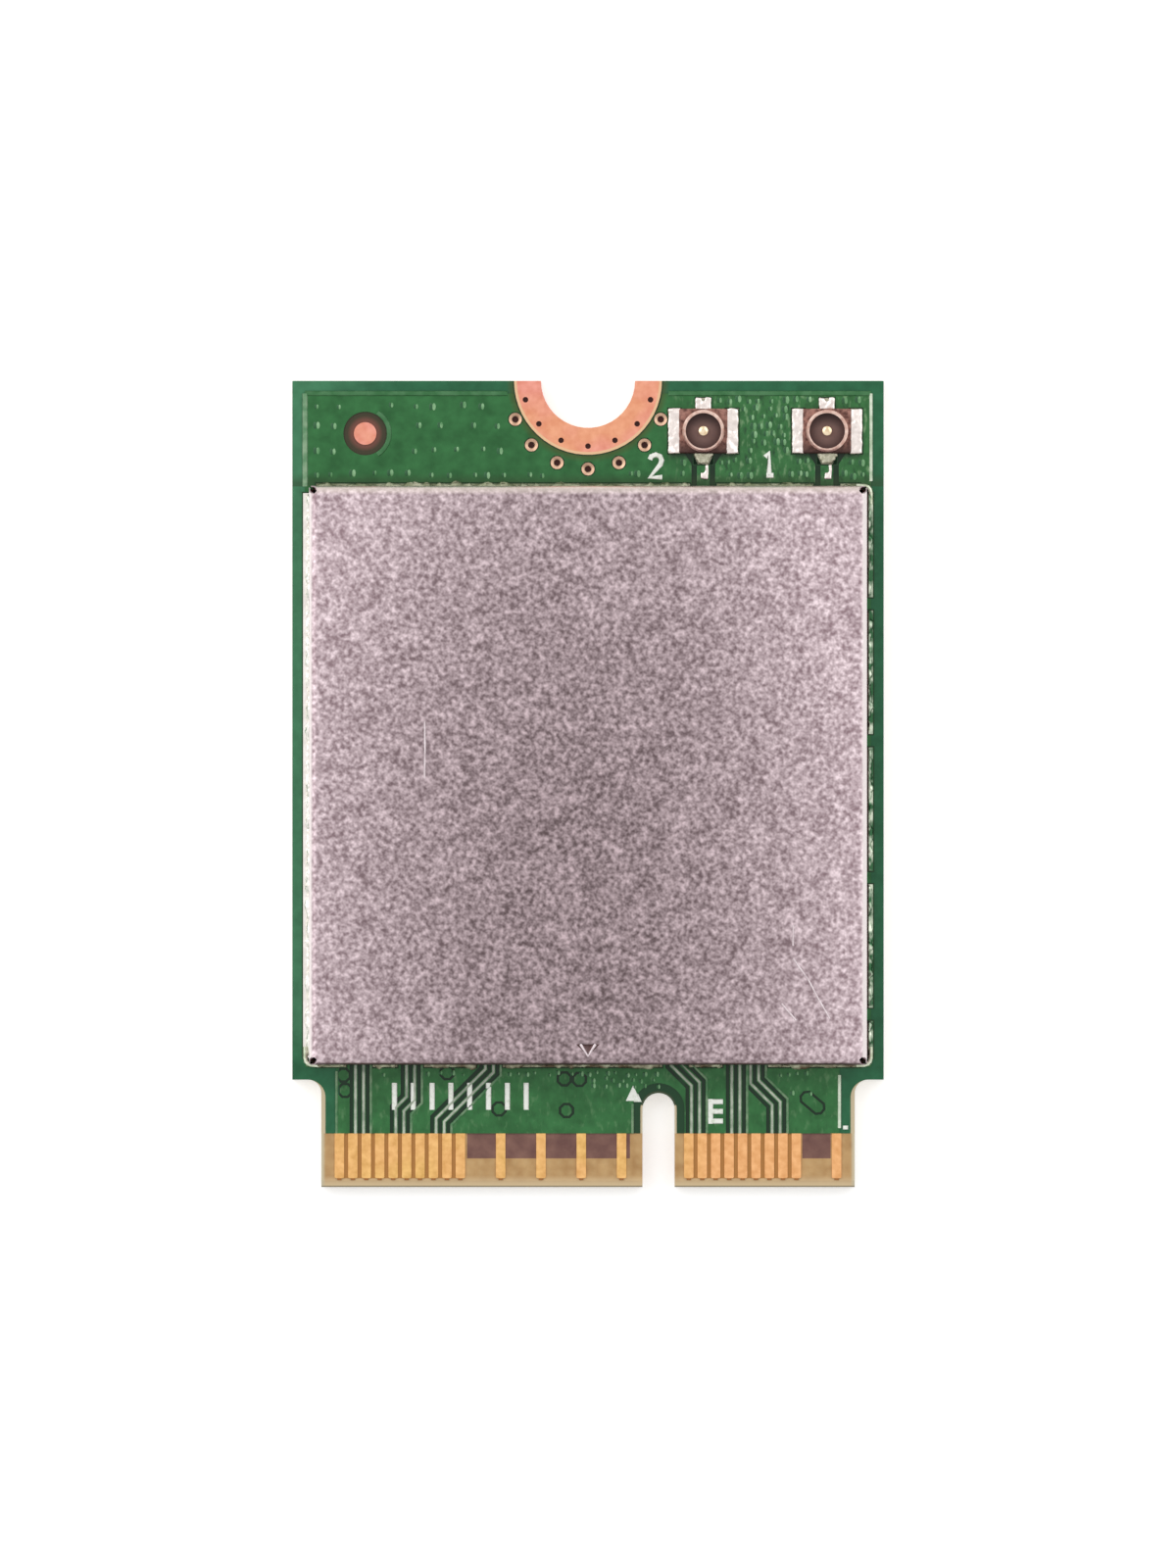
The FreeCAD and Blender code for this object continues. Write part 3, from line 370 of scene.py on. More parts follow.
def hard_gold_plate():
    """Plated gold, pinker in patches and past the key, and tarnished copper at the tie stubs"""
    made, tree, shader, place = new_material("hard_gold_plate", Metallic=1.0, Roughness=0.36)
    x, y = add(tree, "SeparateXYZ", place).node.outputs[:2]
    grain = add(tree, "TexNoise", place, 1 / GOLD_GRAIN, 3.0)
    grains = add(tree, "MapRange", grain, *CLOUD_SPAN)
    patch = add(tree, "MapRange", add(tree, "TexNoise", place, 1 / GOLD_PATCH, 1.0), *GOLD_PATCH_SPAN)
    past_key = add(tree, "MapRange", x, *PINK_CONTACTS)
    pinker = add(tree, "Math", product(tree, patch, GOLD_PATCH_SHARE), past_key, operation="MAXIMUM")
    pink = lay_over(tree, "#db9f67", (grains, "#f1b881"))
    stub = add(tree, "Math", y, TIE_STUB, operation="LESS_THAN")
    colour = lay_over(tree, "#d4a661", (grains, "#edbf79"), (pinker, pink), (stub, "#9a6a42"))
    finish_surface(tree, shader, colour, grain, strength=0.4, depth=0.01 * MM)
    return made


dress(["top_contacts", "bottom_contacts"], hard_gold_plate())

# Solder lacquer: green epoxy ink, curtain-coated over copper and laminate and cured glossy. It stands
# higher and paler over copper, is thin and dark in the gaps between traces, where the near-black colour also
# stands for painted shade, and thins to a pale line over sharp edges of copper. A painted shadow darkens it
# just in front of each port, and painted shade darkens it along the can's back wall. Small holes under it
# show as dips.
LACQUER_LOW = 0.765 * MM
LACQUER_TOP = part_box("solder_mask")[1][2]
LACQUER_MOTTLE, LACQUER_RIPPLE = 0.5 * MM, 0.4 * MM
CAN_FRONT, CAN_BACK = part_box("shield_can")[0][1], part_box("shield_can")[1][1]
POUR_HALF = 10.53 * MM
POUR_END = 14.53 * MM
POUR_TONGUE_HALF = 9.355 * MM
POUR_OVERLAP = 0.1 * MM
TONGUE_RIM_END = SHOULDER + 0.6 * MM
LEFT_RIM_X, LEFT_RIM_Y = (-7 * MM, -10.5 * MM), (CAN_FRONT, -9 * MM)
KEY_EDGE = 1.655 * MM
PORT_PLACES = ((8.89 * MM, 13.13 * MM), (4.29 * MM, 13.13 * MM))
PIERCED_FROM = (2.5 * MM, 5 * MM)
FRONT_PIERCED = 0.3
PIERCED_HAZE = 0.12
STREAK_WIDTH = 0.2 * MM
STREAK_STRETCH = 0.45
PALE_STREAKS, DEEP_STREAKS = (0.56, 0.8), (0.46, 0.24)
PORT_SHADOW_SIDE, PORT_SHADOW_FADE = (1.35 * MM, 1.15 * MM), (12.02 * MM, 12.25 * MM)
PORT_SHADOW_END = 12.4 * MM
PORT_SHADOW_SHARE, STAIN_AND_SHADE_SHARE = 0.8, 0.6
RING_STAIN = (RING_RADIUS + 0.3 * MM, RING_RADIUS + 0.05 * MM)
CAN_WALL_SHADE = (CAN_BACK + 0.5 * MM, CAN_BACK + 0.15 * MM)


def beside_port(tree, x):
    """Distance to the side of the nearer port"""
    sideways = [distance_from(tree, x, port_place[0]) for port_place in PORT_PLACES]
    return add(tree, "Math", *sideways, operation="MINIMUM")


def green_lacquer():
    """Cured epoxy ink: a glossy, mottled green, streaked over pierced copper, darker where no copper lies and
    there partly painted shade, with a painted shadow in front of the ports and painted shade behind the can
    """
    made, tree, shader, place = new_material("green_lacquer", Roughness=0.3, Specular_IOR_Level=0.3)
    x, y, z = add(tree, "SeparateXYZ", place).node.outputs
    side = add(tree, "Math", x, operation="ABSOLUTE")
    mottle = add(tree, "MapRange", add(tree, "TexNoise", place, 1 / LACQUER_MOTTLE, 5.0), *CLOUD_SPAN)
    behind_can = add(tree, "Math", y, CAN_BACK, operation="GREATER_THAN")
    before_can = add(tree, "Math", y, CAN_FRONT, operation="LESS_THAN")
    pierced = add(tree, "Math", product(tree, add(tree, "MapRange", x, *PIERCED_FROM), behind_can),
                  product(tree, before_can, FRONT_PIERCED), operation="MAXIMUM")
    upright = add(tree, "VectorMath", place, (1, STREAK_STRETCH, 1), operation="MULTIPLY")
    streaks = add(tree, "TexNoise", upright, 1 / STREAK_WIDTH, 2.0)
    pale = product(tree, pierced, add(tree, "MapRange", streaks, *PALE_STREAKS))
    deep = product(tree, pierced, add(tree, "MapRange", streaks, *DEEP_STREAKS))
    over_copper = lay_over(tree, "#215d2d", (mottle, "#347640"),
                           (product(tree, pierced, PIERCED_HAZE), "#5b8a50"),
                           (pale, "#8db384"), (deep, "#1d4526"))
    past_side = add(tree, "Math", side, POUR_HALF - POUR_OVERLAP, operation="GREATER_THAN")
    past_end = add(tree, "Math", y, POUR_END - POUR_OVERLAP, operation="GREATER_THAN")
    past_tongue = add(tree, "Math", side, POUR_TONGUE_HALF - POUR_OVERLAP, operation="GREATER_THAN")
    on_tongue = add(tree, "Math", y, TONGUE_RIM_END, operation="LESS_THAN")
    rim = add(tree, "Math", past_side, past_end, operation="MAXIMUM")
    rim = add(tree, "Math", rim, product(tree, past_tongue, on_tongue), operation="MAXIMUM")
    left_part = product(tree, add(tree, "MapRange", x, *LEFT_RIM_X), add(tree, "MapRange", y, *LEFT_RIM_Y))
    left_rim = lay_over(tree, "#387450", (mottle, "#45865f"))
    rim_colour = lay_over(tree, "#1c5b39", (mottle, "#276b46"), (left_part, left_rim))
    from_key = distance_from(tree, x, KEY_MIDDLE)
    key_rim = product(tree, add(tree, "Math", from_key, KEY_MIDDLE - KEY_EDGE, operation="LESS_THAN"),
                      add(tree, "Math", y, SHOULDER, operation="LESS_THAN"))
    # Near-black where no copper lies: thin film over dark resin, and also painted shade in the narrow gaps.
    over_resin = lay_over(tree, "#0e2e18", (rim, rim_colour), (key_rim, "#153f22"))
    raised = add(tree, "MapRange", z, LACQUER_LOW, LACQUER_TOP)
    # Painted shadow of each port's block on the lacquer just in front of it.
    before_port = product(tree, add(tree, "MapRange", y, *PORT_SHADOW_FADE),
                          add(tree, "Math", y, PORT_SHADOW_END, operation="LESS_THAN"))
    painted_shadow = product(tree, add(tree, "MapRange", beside_port(tree, x), *PORT_SHADOW_SIDE), before_port)
    by_ring = add(tree, "MapRange", from_axis(tree, place, 0, BOARD_END), *RING_STAIN)
    # Painted shade along the can's back wall.
    by_can = product(tree, add(tree, "MapRange", y, *CAN_WALL_SHADE), behind_can)
    colour = lay_over(tree, over_resin, (raised, over_copper), (product(tree, painted_shadow, PORT_SHADOW_SHARE), "#142a18"),
                      (product(tree, by_ring, STAIN_AND_SHADE_SHARE), "#4d4818"),
                      (product(tree, by_can, STAIN_AND_SHADE_SHARE), "#2c4223"))
    ripple = add(tree, "TexNoise", place, 1 / LACQUER_RIPPLE, 2.0)
    finish_surface(tree, shader, colour, ripple, strength=0.3, depth=0.01 * MM)
    return made


dress(["solder_mask"], green_lacquer())

# Lacquer over edges of copper: low rounded lines where the film thins along the backs of the traces, along
# the edges of the copper pours and beside the fiducial's window. Their tones partly paint light: the right
# pour edge is painted far paler than the left and end edges as a painted highlight, and the lines beside the
# trace pairs and at the window lie on their right sides only, as painted highlights. Trace pairs are given in
# millimetres: the contact's place, the jog's start from the tip, and the jog.
TRACE_PAIRS = ((-8.5, 2.6, 0), (-7.0, 2.9, 0.4), (-5.5, 2.5, 1.83), (4.0, 3.84, -0.75), (5.5, 2.6, 0),
               (7.0, 3.12, -0.8))
LINE_BREAKS = 0.35 * MM
TRACE_HALF_SPACING = 0.15 * MM
TRACE_EDGE = 0.42 * MM
CORNER_MITRE = math.tan(math.pi / 8)
RING_CLEAR = 3.0 * MM
WINDOW_LIP = 0.9 * MM
WINDOW_LIP_ANGLES = range(-60, 61, 12)
RIGHT_EDGE_START = CAN_BACK + 0.2 * MM
RIGHT_TONGUE_EDGE = (CONTACT_ROOT + 0.2 * MM, CAN_FRONT - 0.4 * MM)
LEFT_TONGUE_EDGE = (CONTACT_ROOT, CAN_FRONT - 0.25 * MM)
KEY_SIDE_EDGE = (CONTACT_ROOT, CONTACT_ROOT + 1.1 * MM)


def thin_lacquer(name, low, high):
    """Lacquer drawn thin over a copper edge or trace, where the metal shows through as a pale line; the tones
    given per piece also carry painted highlights and painted shade
    """
    made, tree, shader, place = new_material(name, Roughness=0.3, Specular_IOR_Level=0.4)
    broken = add(tree, "TexNoise", place, 1 / LINE_BREAKS, 3.0)
    colour = lay_over(tree, low, (add(tree, "MapRange", broken, *SHARP_SPAN), high))
    finish_surface(tree, shader, colour, broken, strength=0.2, depth=0.01 * MM)
    return made


def strokes(name, made, paths, width, rise, level):
    """Low rounded lines along paths of points on a level, as one piece"""
    bpy.ops.object.select_all(action="DESELECT")
    bpy.ops.curve.primitive_nurbs_path_add()
    line = bpy.context.object
    line.data.splines.clear()
    for path in paths:
        spline = line.data.splines.new("POLY")
        spline.points.add(len(path) - 1)
        for point, (x, y) in zip(spline.points, path):
            point.co = (x, y, 0, 1)
    line.data.bevel_depth = width / 2
    line.data.bevel_resolution = 1
    line.data.use_fill_caps = True
    bpy.ops.object.convert(target="MESH")
    piece = bpy.context.object
    bpy.ops.object.mode_set(mode="EDIT")
    bpy.ops.mesh.select_all(action="SELECT")
    bpy.ops.transform.resize(value=(1, 1, 2 * rise / width), center_override=(0, 0, 0))
    bpy.ops.transform.translate(value=(0, 0, level))
    return close_piece(piece, name, made)


def trace_path(x, jog_start, jog, side):
    """One trace of a pair, from its contact to the can, its corners mitred beside the pair's middle line"""
    x, jog = x * MM + side, jog * MM
    corner = BOARD_TIP + jog_start * MM - side * math.copysign(CORNER_MITRE, jog)
    return [(x, CONTACT_ROOT), (x, corner), (x + jog, corner + abs(jog)), (x + jog, CAN_FRONT)]


trace_paths = [trace_path(*pair, side) for pair in TRACE_PAIRS
               for side in (-TRACE_HALF_SPACING, TRACE_HALF_SPACING)]
trace_backs = strokes("trace_backs", thin_lacquer("lacquer_over_trace", "#909d8a", "#c2cab8"), trace_paths,
                      width=0.11 * MM, rise=0.02 * MM, level=LACQUER_TOP)
fit(trace_backs)

# Painted highlight: a pale arc on the window's right side only.
window_lip = [(FIDUCIAL[0] + WINDOW_LIP * math.cos(angle), FIDUCIAL[1] + WINDOW_LIP * math.sin(angle))
              for angle in map(math.radians, WINDOW_LIP_ANGLES)]
end_edges = [[(-POUR_HALF, POUR_END), (-RING_CLEAR, POUR_END)],
             [(RING_CLEAR, POUR_END), (POUR_HALF, POUR_END)], window_lip]
fit(strokes("end_pour_edge", thin_lacquer("lacquer_over_end_edge", "#2c6a38", "#477d4f"), end_edges,
            width=0.19 * MM, rise=0.008 * MM, level=LACQUER_TOP))
left_edge = [[(-POUR_HALF, CAN_BACK), (-POUR_HALF, POUR_END)]]
fit(strokes("left_pour_edge", thin_lacquer("lacquer_over_left_edge", "#5c8e63", "#8fae8b"), left_edge,
            width=0.2 * MM, rise=0.012 * MM, level=LACQUER_TOP))
# Painted highlight: the right pour edges are painted far paler than the left and end edges.
bright_edges = [[(POUR_HALF, RIGHT_EDGE_START), (POUR_HALF, POUR_END)],
                [(POUR_TONGUE_HALF, end) for end in RIGHT_TONGUE_EDGE]]
fit(strokes("right_pour_edge", thin_lacquer("lacquer_over_right_edge", "#b4cbab", "#e8f2de"), bright_edges,
            width=0.12 * MM, rise=0.012 * MM, level=LACQUER_TOP))
faint_edges = [[(-POUR_TONGUE_HALF, end) for end in LEFT_TONGUE_EDGE],
               [(KEY_EDGE, end) for end in KEY_SIDE_EDGE]]
# Painted highlight: an edge line on the right side of each trace pair only.
faint_edges += [trace_path(*pair, TRACE_EDGE) for pair in TRACE_PAIRS]
fit(strokes("faint_pour_edges", thin_lacquer("lacquer_over_faint_edge", "#43794b", "#7f9c79"), faint_edges,
            width=0.1 * MM, rise=0.012 * MM, level=LACQUER_TOP))

# Dips over covered holes: where the film sank into a drilled hole, two small long blisters stand for the dip,
# one painted pale on one side of the hole as a painted highlight and one painted dark on the other as painted
# shade. Rows are given in millimetres: the row's height on the card, its start, its end and its mean step.
HOLE_ROWS = (
    (14.07, -10.1, -3.0, 0.9), (13.3, -10.1, -3.0, 0.95), (12.42, -10.1, -2.5, 0.95),
    (11.52, -10.1, -1.6, 0.7), (14.28, 3.0, 10.2, 0.4), (14.0, 3.0, 10.3, 0.4), (13.68, 5.7, 10.3, 0.36),
    (13.35, 5.7, 10.3, 0.36), (13.02, 5.7, 10.3, 0.36), (12.7, 5.7, 10.3, 0.36), (12.37, 5.7, 10.3, 0.36),
    (12.0, 3.0, 10.3, 0.4), (11.5, 1.6, 10.3, 0.32), (-10.78, -8.0, 9.0, 0.4), (-11.0, 0.2, 3.1, 0.4),
    (-11.22, 0.2, 3.1, 0.45), (-11.5, 7.6, 9.0, 0.5),
)
HOLE_SEED = 4
ROW_WANDER = 0.06
STEP_SHARES = (0.6, 1.4)
DIP_SIZES = (0.7, 1.2)
FRONT_DIP_SHARE = 0.7
DIP_RADIUS = 0.1 * MM
DIP_TOP_RADIUS, DIP_ROUNDING, DIP_OFFSET = DIP_RADIUS * 0.6, DIP_RADIUS * 0.2, DIP_RADIUS * 0.5
DIP_RISE = 0.015 * MM
DIP_STRETCH = (0.75, 1.5, 1)
PORT_HALVES = (1.42 * MM, 0.95 * MM)
PORT_LEAD_HALF = 0.6 * MM
FIDUCIAL_WINDOW = 0.81 * MM
DOT_CLEARANCE, RING_CLEARANCE = 0.3 * MM, 0.45 * MM
DIGIT_CLEARANCE, TRACE_CLEARANCE = 0.7 * MM, 0.6 * MM
DIGIT_PLACES = ((6.74 * MM, 11.9 * MM), (2.52 * MM, 11.83 * MM))


def free_place(x, y):
    """True where only lacquer lies: clear of the dot, the ring, the ports, the digits and the traces"""
    free = math.dist((x, y), FIDUCIAL) > FIDUCIAL_WINDOW + DOT_CLEARANCE
    free &= math.dist((x, y), (0, BOARD_END)) > RING_RADIUS + STITCH_GAP + RING_CLEARANCE
    free &= all(math.dist((x, y), digit) > DIGIT_CLEARANCE for digit in DIGIT_PLACES)
    for port_x, port_y in PORT_PLACES:
        sideways = abs(x - port_x)
        free &= sideways > PORT_HALVES[0] or abs(y - port_y) > PORT_HALVES[1]
        free &= sideways > PORT_LEAD_HALF
    if y < 0:
        free &= all(abs(x - (pair_x + jog) * MM) > TRACE_CLEARANCE for pair_x, _, jog in TRACE_PAIRS)
    return free


def covered_holes(chance):
    """Uneven rows of covered holes in the strips beside the can, each as x, y and size"""
    places = []
    for row, x, row_end, step in HOLE_ROWS:
        share = 1.0 if row > 0 else FRONT_DIP_SHARE
        while x < row_end:
            place = (x * MM, (row + chance.uniform(-ROW_WANDER, ROW_WANDER)) * MM)
            if free_place(*place):
                places.append((*place, share * chance.uniform(*DIP_SIZES)))
            x += step * chance.uniform(*STEP_SHARES)
    return places


def hole_marks(name, made, offset, places):
    """One side of the lacquer's dip over each covered hole: a small long blister beside the hole's middle,
    whose material paints the highlight of the lit side or the shade of the other
    """
    bpy.ops.object.select_all(action="DESELECT")
    bpy.ops.mesh.primitive_cone_add(vertices=8, radius1=DIP_RADIUS, radius2=DIP_TOP_RADIUS,
                                    depth=2 * DIP_RISE, location=(0, 0, LACQUER_TOP))
    blister = bpy.context.object
    pick_faces(blister, faces_up)
    bpy.ops.mesh.bevel(offset=DIP_ROUNDING, segments=2)
    bpy.ops.mesh.select_all(action="SELECT")
    bpy.ops.transform.resize(value=DIP_STRETCH, center_override=(0, 0, LACQUER_TOP))
    bpy.ops.transform.translate(value=(offset, 0, 0))
    fit(scatter(close_piece(blister, name, made), places))


hole_places = covered_holes(random.Random(HOLE_SEED))
# Painted highlight to the right of each hole and painted shade to its left.
hole_marks("hole_painted_glints", thin_lacquer("lacquer_painted_hole_glint", "#549058", "#8fbd8d"), DIP_OFFSET, hole_places)
hole_marks("hole_painted_shades", thin_lacquer("lacquer_painted_hole_shade", "#20552f", "#296239"), -DIP_OFFSET, hole_places)

# Ink marks: white epoxy ink screened on the lacquer. The ports are numbered, the key has its letter, and an
# arrow, a dot and a row of bars mark the contact end. Strokes are given in millimetres.
INK_WIDTH = 0.2 * MM
INK_RISE = 0.012 * MM
INK_WEAR = 0.15 * MM
INK_WEAR_SPAN = (0.3, 0.5)
DIGIT_STROKES = (
    (((-0.14, 0.26), (0, 0.42), (0, -0.42)), ((-0.1, -0.42), (0.16, -0.42))),
    (((-0.22, 0.24), (-0.16, 0.36), (0, 0.42), (0.16, 0.36), (0.22, 0.22), (0.18, 0.06), (-0.22, -0.42),
      (0.24, -0.42)),),
)
BAR_COUNT = 8
BAR_FIRST_X, BAR_STEP = -7.2, 0.7
BAR_LOW, BAR_HIGH = -12.12, -11.12
LETTER_BARS = (-11.82, -12.18, -12.54)
LETTER_SPAN = (4.56, 5.02)
INK_DOT, INK_DOT_LENGTH = (9.58, -12.85), 0.14
ARROW = (1.68, -11.6)
ARROW_RADIUS = 0.37 * MM
ARROW_ROUNDING = 0.05 * MM
ARROW_STRETCH = (1, 1.22, 1)


def white_ink():
    """Screened ink: opaque, slightly greenish white with ragged, thinner patches"""
    made, tree, shader, place = new_material("white_ink", Roughness=0.5, Specular_IOR_Level=0.3)
    worn = add(tree, "TexNoise", place, 1 / INK_WEAR, 3.0)
    colour = lay_over(tree, "#e0e9d8", (add(tree, "MapRange", worn, *INK_WEAR_SPAN), "#fbfef6"))
    finish_surface(tree, shader, colour, worn, strength=0.2, depth=0.01 * MM)
    return made


ink = white_ink()
ink_paths = []
for (middle_x, middle_y), paths in zip(DIGIT_PLACES, DIGIT_STROKES):
    ink_paths += [[(middle_x + x * MM, middle_y + y * MM) for x, y in path] for path in paths]
for index in range(BAR_COUNT):
    bar_x = (BAR_FIRST_X + BAR_STEP * index) * MM
    ink_paths.append([(bar_x, BAR_LOW * MM), (bar_x, BAR_HIGH * MM)])
for height in LETTER_BARS:
    ink_paths.append([(x * MM, height * MM) for x in LETTER_SPAN])
ink_paths.append([(LETTER_SPAN[0] * MM, LETTER_BARS[0] * MM + INK_WIDTH / 2),
                  (LETTER_SPAN[0] * MM, LETTER_BARS[-1] * MM - INK_WIDTH / 2)])
ink_paths.append([(INK_DOT[0] * MM, INK_DOT[1] * MM), (INK_DOT[0] * MM, (INK_DOT[1] + INK_DOT_LENGTH) * MM)])
ink_marks = strokes("ink_marks", ink, ink_paths, width=INK_WIDTH, rise=INK_RISE, level=LACQUER_TOP)
fit(ink_marks)

arrow_place = (ARROW[0] * MM, ARROW[1] * MM, LACQUER_TOP)
bpy.ops.object.select_all(action="DESELECT")
bpy.ops.mesh.primitive_cylinder_add(vertices=3, radius=ARROW_RADIUS, depth=2 * INK_RISE, location=arrow_place)
arrow = bpy.context.object
pick_faces(arrow, faces_up)
bpy.ops.mesh.bevel(offset=ARROW_ROUNDING, segments=2)
bpy.ops.mesh.select_all(action="SELECT")
bpy.ops.transform.resize(value=ARROW_STRETCH, center_override=arrow_place)
fit(close_piece(arrow, "ink_arrow", ink))

# Parts under the can: chips moulded in black resin, fired ceramic bodies, pressed ferrite and tinned ends,
# all placed by machine and soldered in an oven.
black_resin = moulded_resin("black_chip_resin", "#17171a", "#242428", roughness=0.55)
tan_ceramic = moulded_resin("tan_ceramic", "#8c6f55", "#a88a6c", roughness=0.4)
white_ceramic = moulded_resin("white_ceramic", "#cfcabf", "#e2ddd3", roughness=0.4)
grey_ferrite = moulded_resin("grey_ferrite", "#2d2d30", "#3d3d41", roughness=0.6)
matt_tin = grained_metal("matt_tin", "#bdbab6", "#d8d5d0", grain=0.1 * MM, roughness=0.4, depth=0.01 * MM)
dress(["wireless_chip", "front_end_module_1", "front_end_module_2", "flash_chip", "regulator_chip",
       "resistor_bodies"], black_resin)
dress(["capacitor_bodies"], tan_ceramic)
dress(["diplexer_1", "diplexer_2", "crystal_base"], white_ceramic)
dress(["power_inductor_1", "power_inductor_2"], grey_ferrite)
dress(["wireless_chip_terminals", "front_end_terminals", "diplexer_terminals", "inductor_terminals",
       "flash_terminals", "regulator_terminals", "crystal_lid", "capacitor_terminals", "resistor_terminals"],
      matt_tin)

# Shield can: thin tinned sheet, blanked with a relief at each corner and folded down on four sides. The matt
# tin has a coarse bright grain and a few scratches. Painted light lies in its colour: a painted sheen, darker
# in the middle and paler outwards; painted highlights along the side and back bends and along the index
# mark's sides; painted shade on the front bend, round each corner relief and inside the index mark. The index
# mark and the scratches are given in millimetres.
CAN_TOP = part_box("shield_can")[1][2]
CAN_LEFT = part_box("shield_can")[0][0]
CAN_MIDDLE = (CAN_FRONT + CAN_BACK) / 2
CAN_GRAIN = 0.17 * MM
CAN_PATCH, CAN_PATCH_SHARE = 4 * CAN_GRAIN, 0.36
NO_SHIFT, GRAIN_TURN = (0, 0, 0), (0.6, 0.45, 0.5)
GRAIN_SPAN, GRAIN_CURVE = (0.2, 0.8), 1.35
DARK_MIDDLE, PALING = (-0.6 * MM, -3.5 * MM), (0.092 / MM, 0.047 / MM)
DARK_FRONT, DARK_FRONT_SHARE = (-3 * MM, CAN_FRONT), 0.06
NEAR_TOP = (CAN_TOP - 0.45 * MM, CAN_TOP - 0.25 * MM)
LEFT_BEND, RIGHT_BEND = (-10.22 * MM, -10.3 * MM), (10.14 * MM, 10.24 * MM)
BACK_BEND, BACK_BEND_SHARE = (CAN_BACK - 0.34 * MM, CAN_BACK - 0.08 * MM), 0.8
FRONT_BEND = (CAN_FRONT + 0.12 * MM, CAN_FRONT + 0.04 * MM)
CORNER_RELIEF, RELIEF_EDGE = (10.22 * MM, 10.61 * MM, 0), (0.13 * MM, 0.09 * MM)
INDEX_TIP, INDEX_BACK, INDEX_HALF = -10.1, -9.66, 0.28
INDEX_SHARE = 0.8
SCRATCHES = (
    ((-6.06, 2.32), (-6.05, 1.2), (-6.07, 0.2)),
    ((7.62, -5.25), (7.61, -6.0)),
    ((7.62, -6.48), (8.2, -7.3), (8.55, -7.97), (8.98, -8.71)),
    ((7.19, -8.15), (7.73, -8.78)),
)


def matt_tinned_sheet():
    """Rolled sheet with a matt tin coat: grey-pink grains under a painted sheen paler away from the middle,
    painted highlights on the side and back bends, painted shade on the front bend, round the reliefs and in
    the index mark
    """
    made, tree, shader, place = new_material("matt_tinned_sheet", Metallic=1.0, Roughness=0.45)
    x, y, z = add(tree, "SeparateXYZ", place).node.outputs
    slanted = add(tree, "Mapping", place, NO_SHIFT, GRAIN_TURN)
    grain = add(tree, "TexNoise", slanted, 1 / CAN_GRAIN, 1.0)
    patches = add(tree, "TexNoise", slanted, 1 / CAN_PATCH, 1.0)
    # Painted sheen: darker in the middle, paler outwards and a little darker towards the front.
    shares = [product(tree, distance_from(tree, axis, middle), paling)
              for axis, middle, paling in zip((x, y), DARK_MIDDLE, PALING)]
    paler = [add(tree, "Math", share, 2.0, operation="POWER") for share in shares]
    pale = add(tree, "Math", add(tree, "Math", *paler, operation="ADD"), 1.0, operation="MINIMUM")
    darker_front = product(tree, add(tree, "MapRange", y, *DARK_FRONT), DARK_FRONT_SHARE)
    pale = add(tree, "Math", pale, darker_front, operation="SUBTRACT")
    uneven = product(tree, add(tree, "Math", patches, 0.5, operation="SUBTRACT"), CAN_PATCH_SHARE)
    tone = add(tree, "MapRange", add(tree, "Math", grain, uneven, operation="ADD"), *GRAIN_SPAN)
    tips = add(tree, "Math", tone, GRAIN_CURVE, operation="POWER")
    # Painted light on the bends: highlights on the back and side bends, the left side's paler than the
    # right's, and shade on the front bend.
    near_top = add(tree, "MapRange", z, *NEAR_TOP)
    back_bend = product(tree, add(tree, "MapRange", y, *BACK_BEND), near_top)
    front_bend = product(tree, add(tree, "MapRange", y, *FRONT_BEND), near_top)
    right_bend = add(tree, "MapRange", x, *RIGHT_BEND)
    left_bend = add(tree, "MapRange", x, *LEFT_BEND)
    side_bends = add(tree, "Math", right_bend, left_bend, operation="MAXIMUM")
    right_half = add(tree, "Math", x, 0.0, operation="GREATER_THAN")
    # Painted shade round each corner relief.
    from_middle = add(tree, "VectorMath", place, (0, CAN_MIDDLE, 0), operation="SUBTRACT")
    from_middle = add(tree, "VectorMath", from_middle, (1, 1, 0), operation="MULTIPLY")
    quarter = add(tree, "VectorMath", from_middle, operation="ABSOLUTE")
    from_relief = add(tree, "VectorMath", quarter, CORNER_RELIEF, operation="DISTANCE")
    # Painted shade inside the stamped index mark.
    side = add(tree, "Math", x, operation="ABSOLUTE")
    index_side = add(tree, "Math", side, INDEX_TIP * MM, operation="ADD")
    in_index = product(tree, add(tree, "Math", y, INDEX_BACK * MM, operation="LESS_THAN"),
                       add(tree, "Math", index_side, y, operation="LESS_THAN"))
    colour = lay_over(tree, "#5d4f51", (pale, "#8e787e"),
                      (tips, lay_over(tree, "#c3afb4", (pale, "#f0dee3"))),
                      (product(tree, back_bend, BACK_BEND_SHARE), "#dcd0c6"),
                      (product(tree, side_bends, near_top),
                       lay_over(tree, "#e9e0de", (right_half, "#ded5d4"))),
                      (front_bend, "#4a3c3d"),
                      (add(tree, "MapRange", from_relief, *RELIEF_EDGE), "#241210"),
                      (product(tree, in_index, INDEX_SHARE), "#3a1d16"))
    finish_surface(tree, shader, colour, grain, strength=0.3, depth=0.02 * MM)
    return made


dress(["shield_can"], matt_tinned_sheet())
# Bright tin for the scratches; on the index mark's sides the same tin paints a highlight.
scratch_and_index_glint = grained_metal("scratched_tin_and_index_glint", "#c3b3b7", "#e6dadd",
                               grain=0.3 * MM, roughness=0.4, depth=0.01 * MM)
scratch_paths = [[(x * MM, y * MM) for x, y in path] for path in SCRATCHES]
can_scratches = strokes("can_scratches", scratch_and_index_glint, scratch_paths,
                        width=0.07 * MM, rise=0.004 * MM, level=CAN_TOP)
fit(can_scratches)
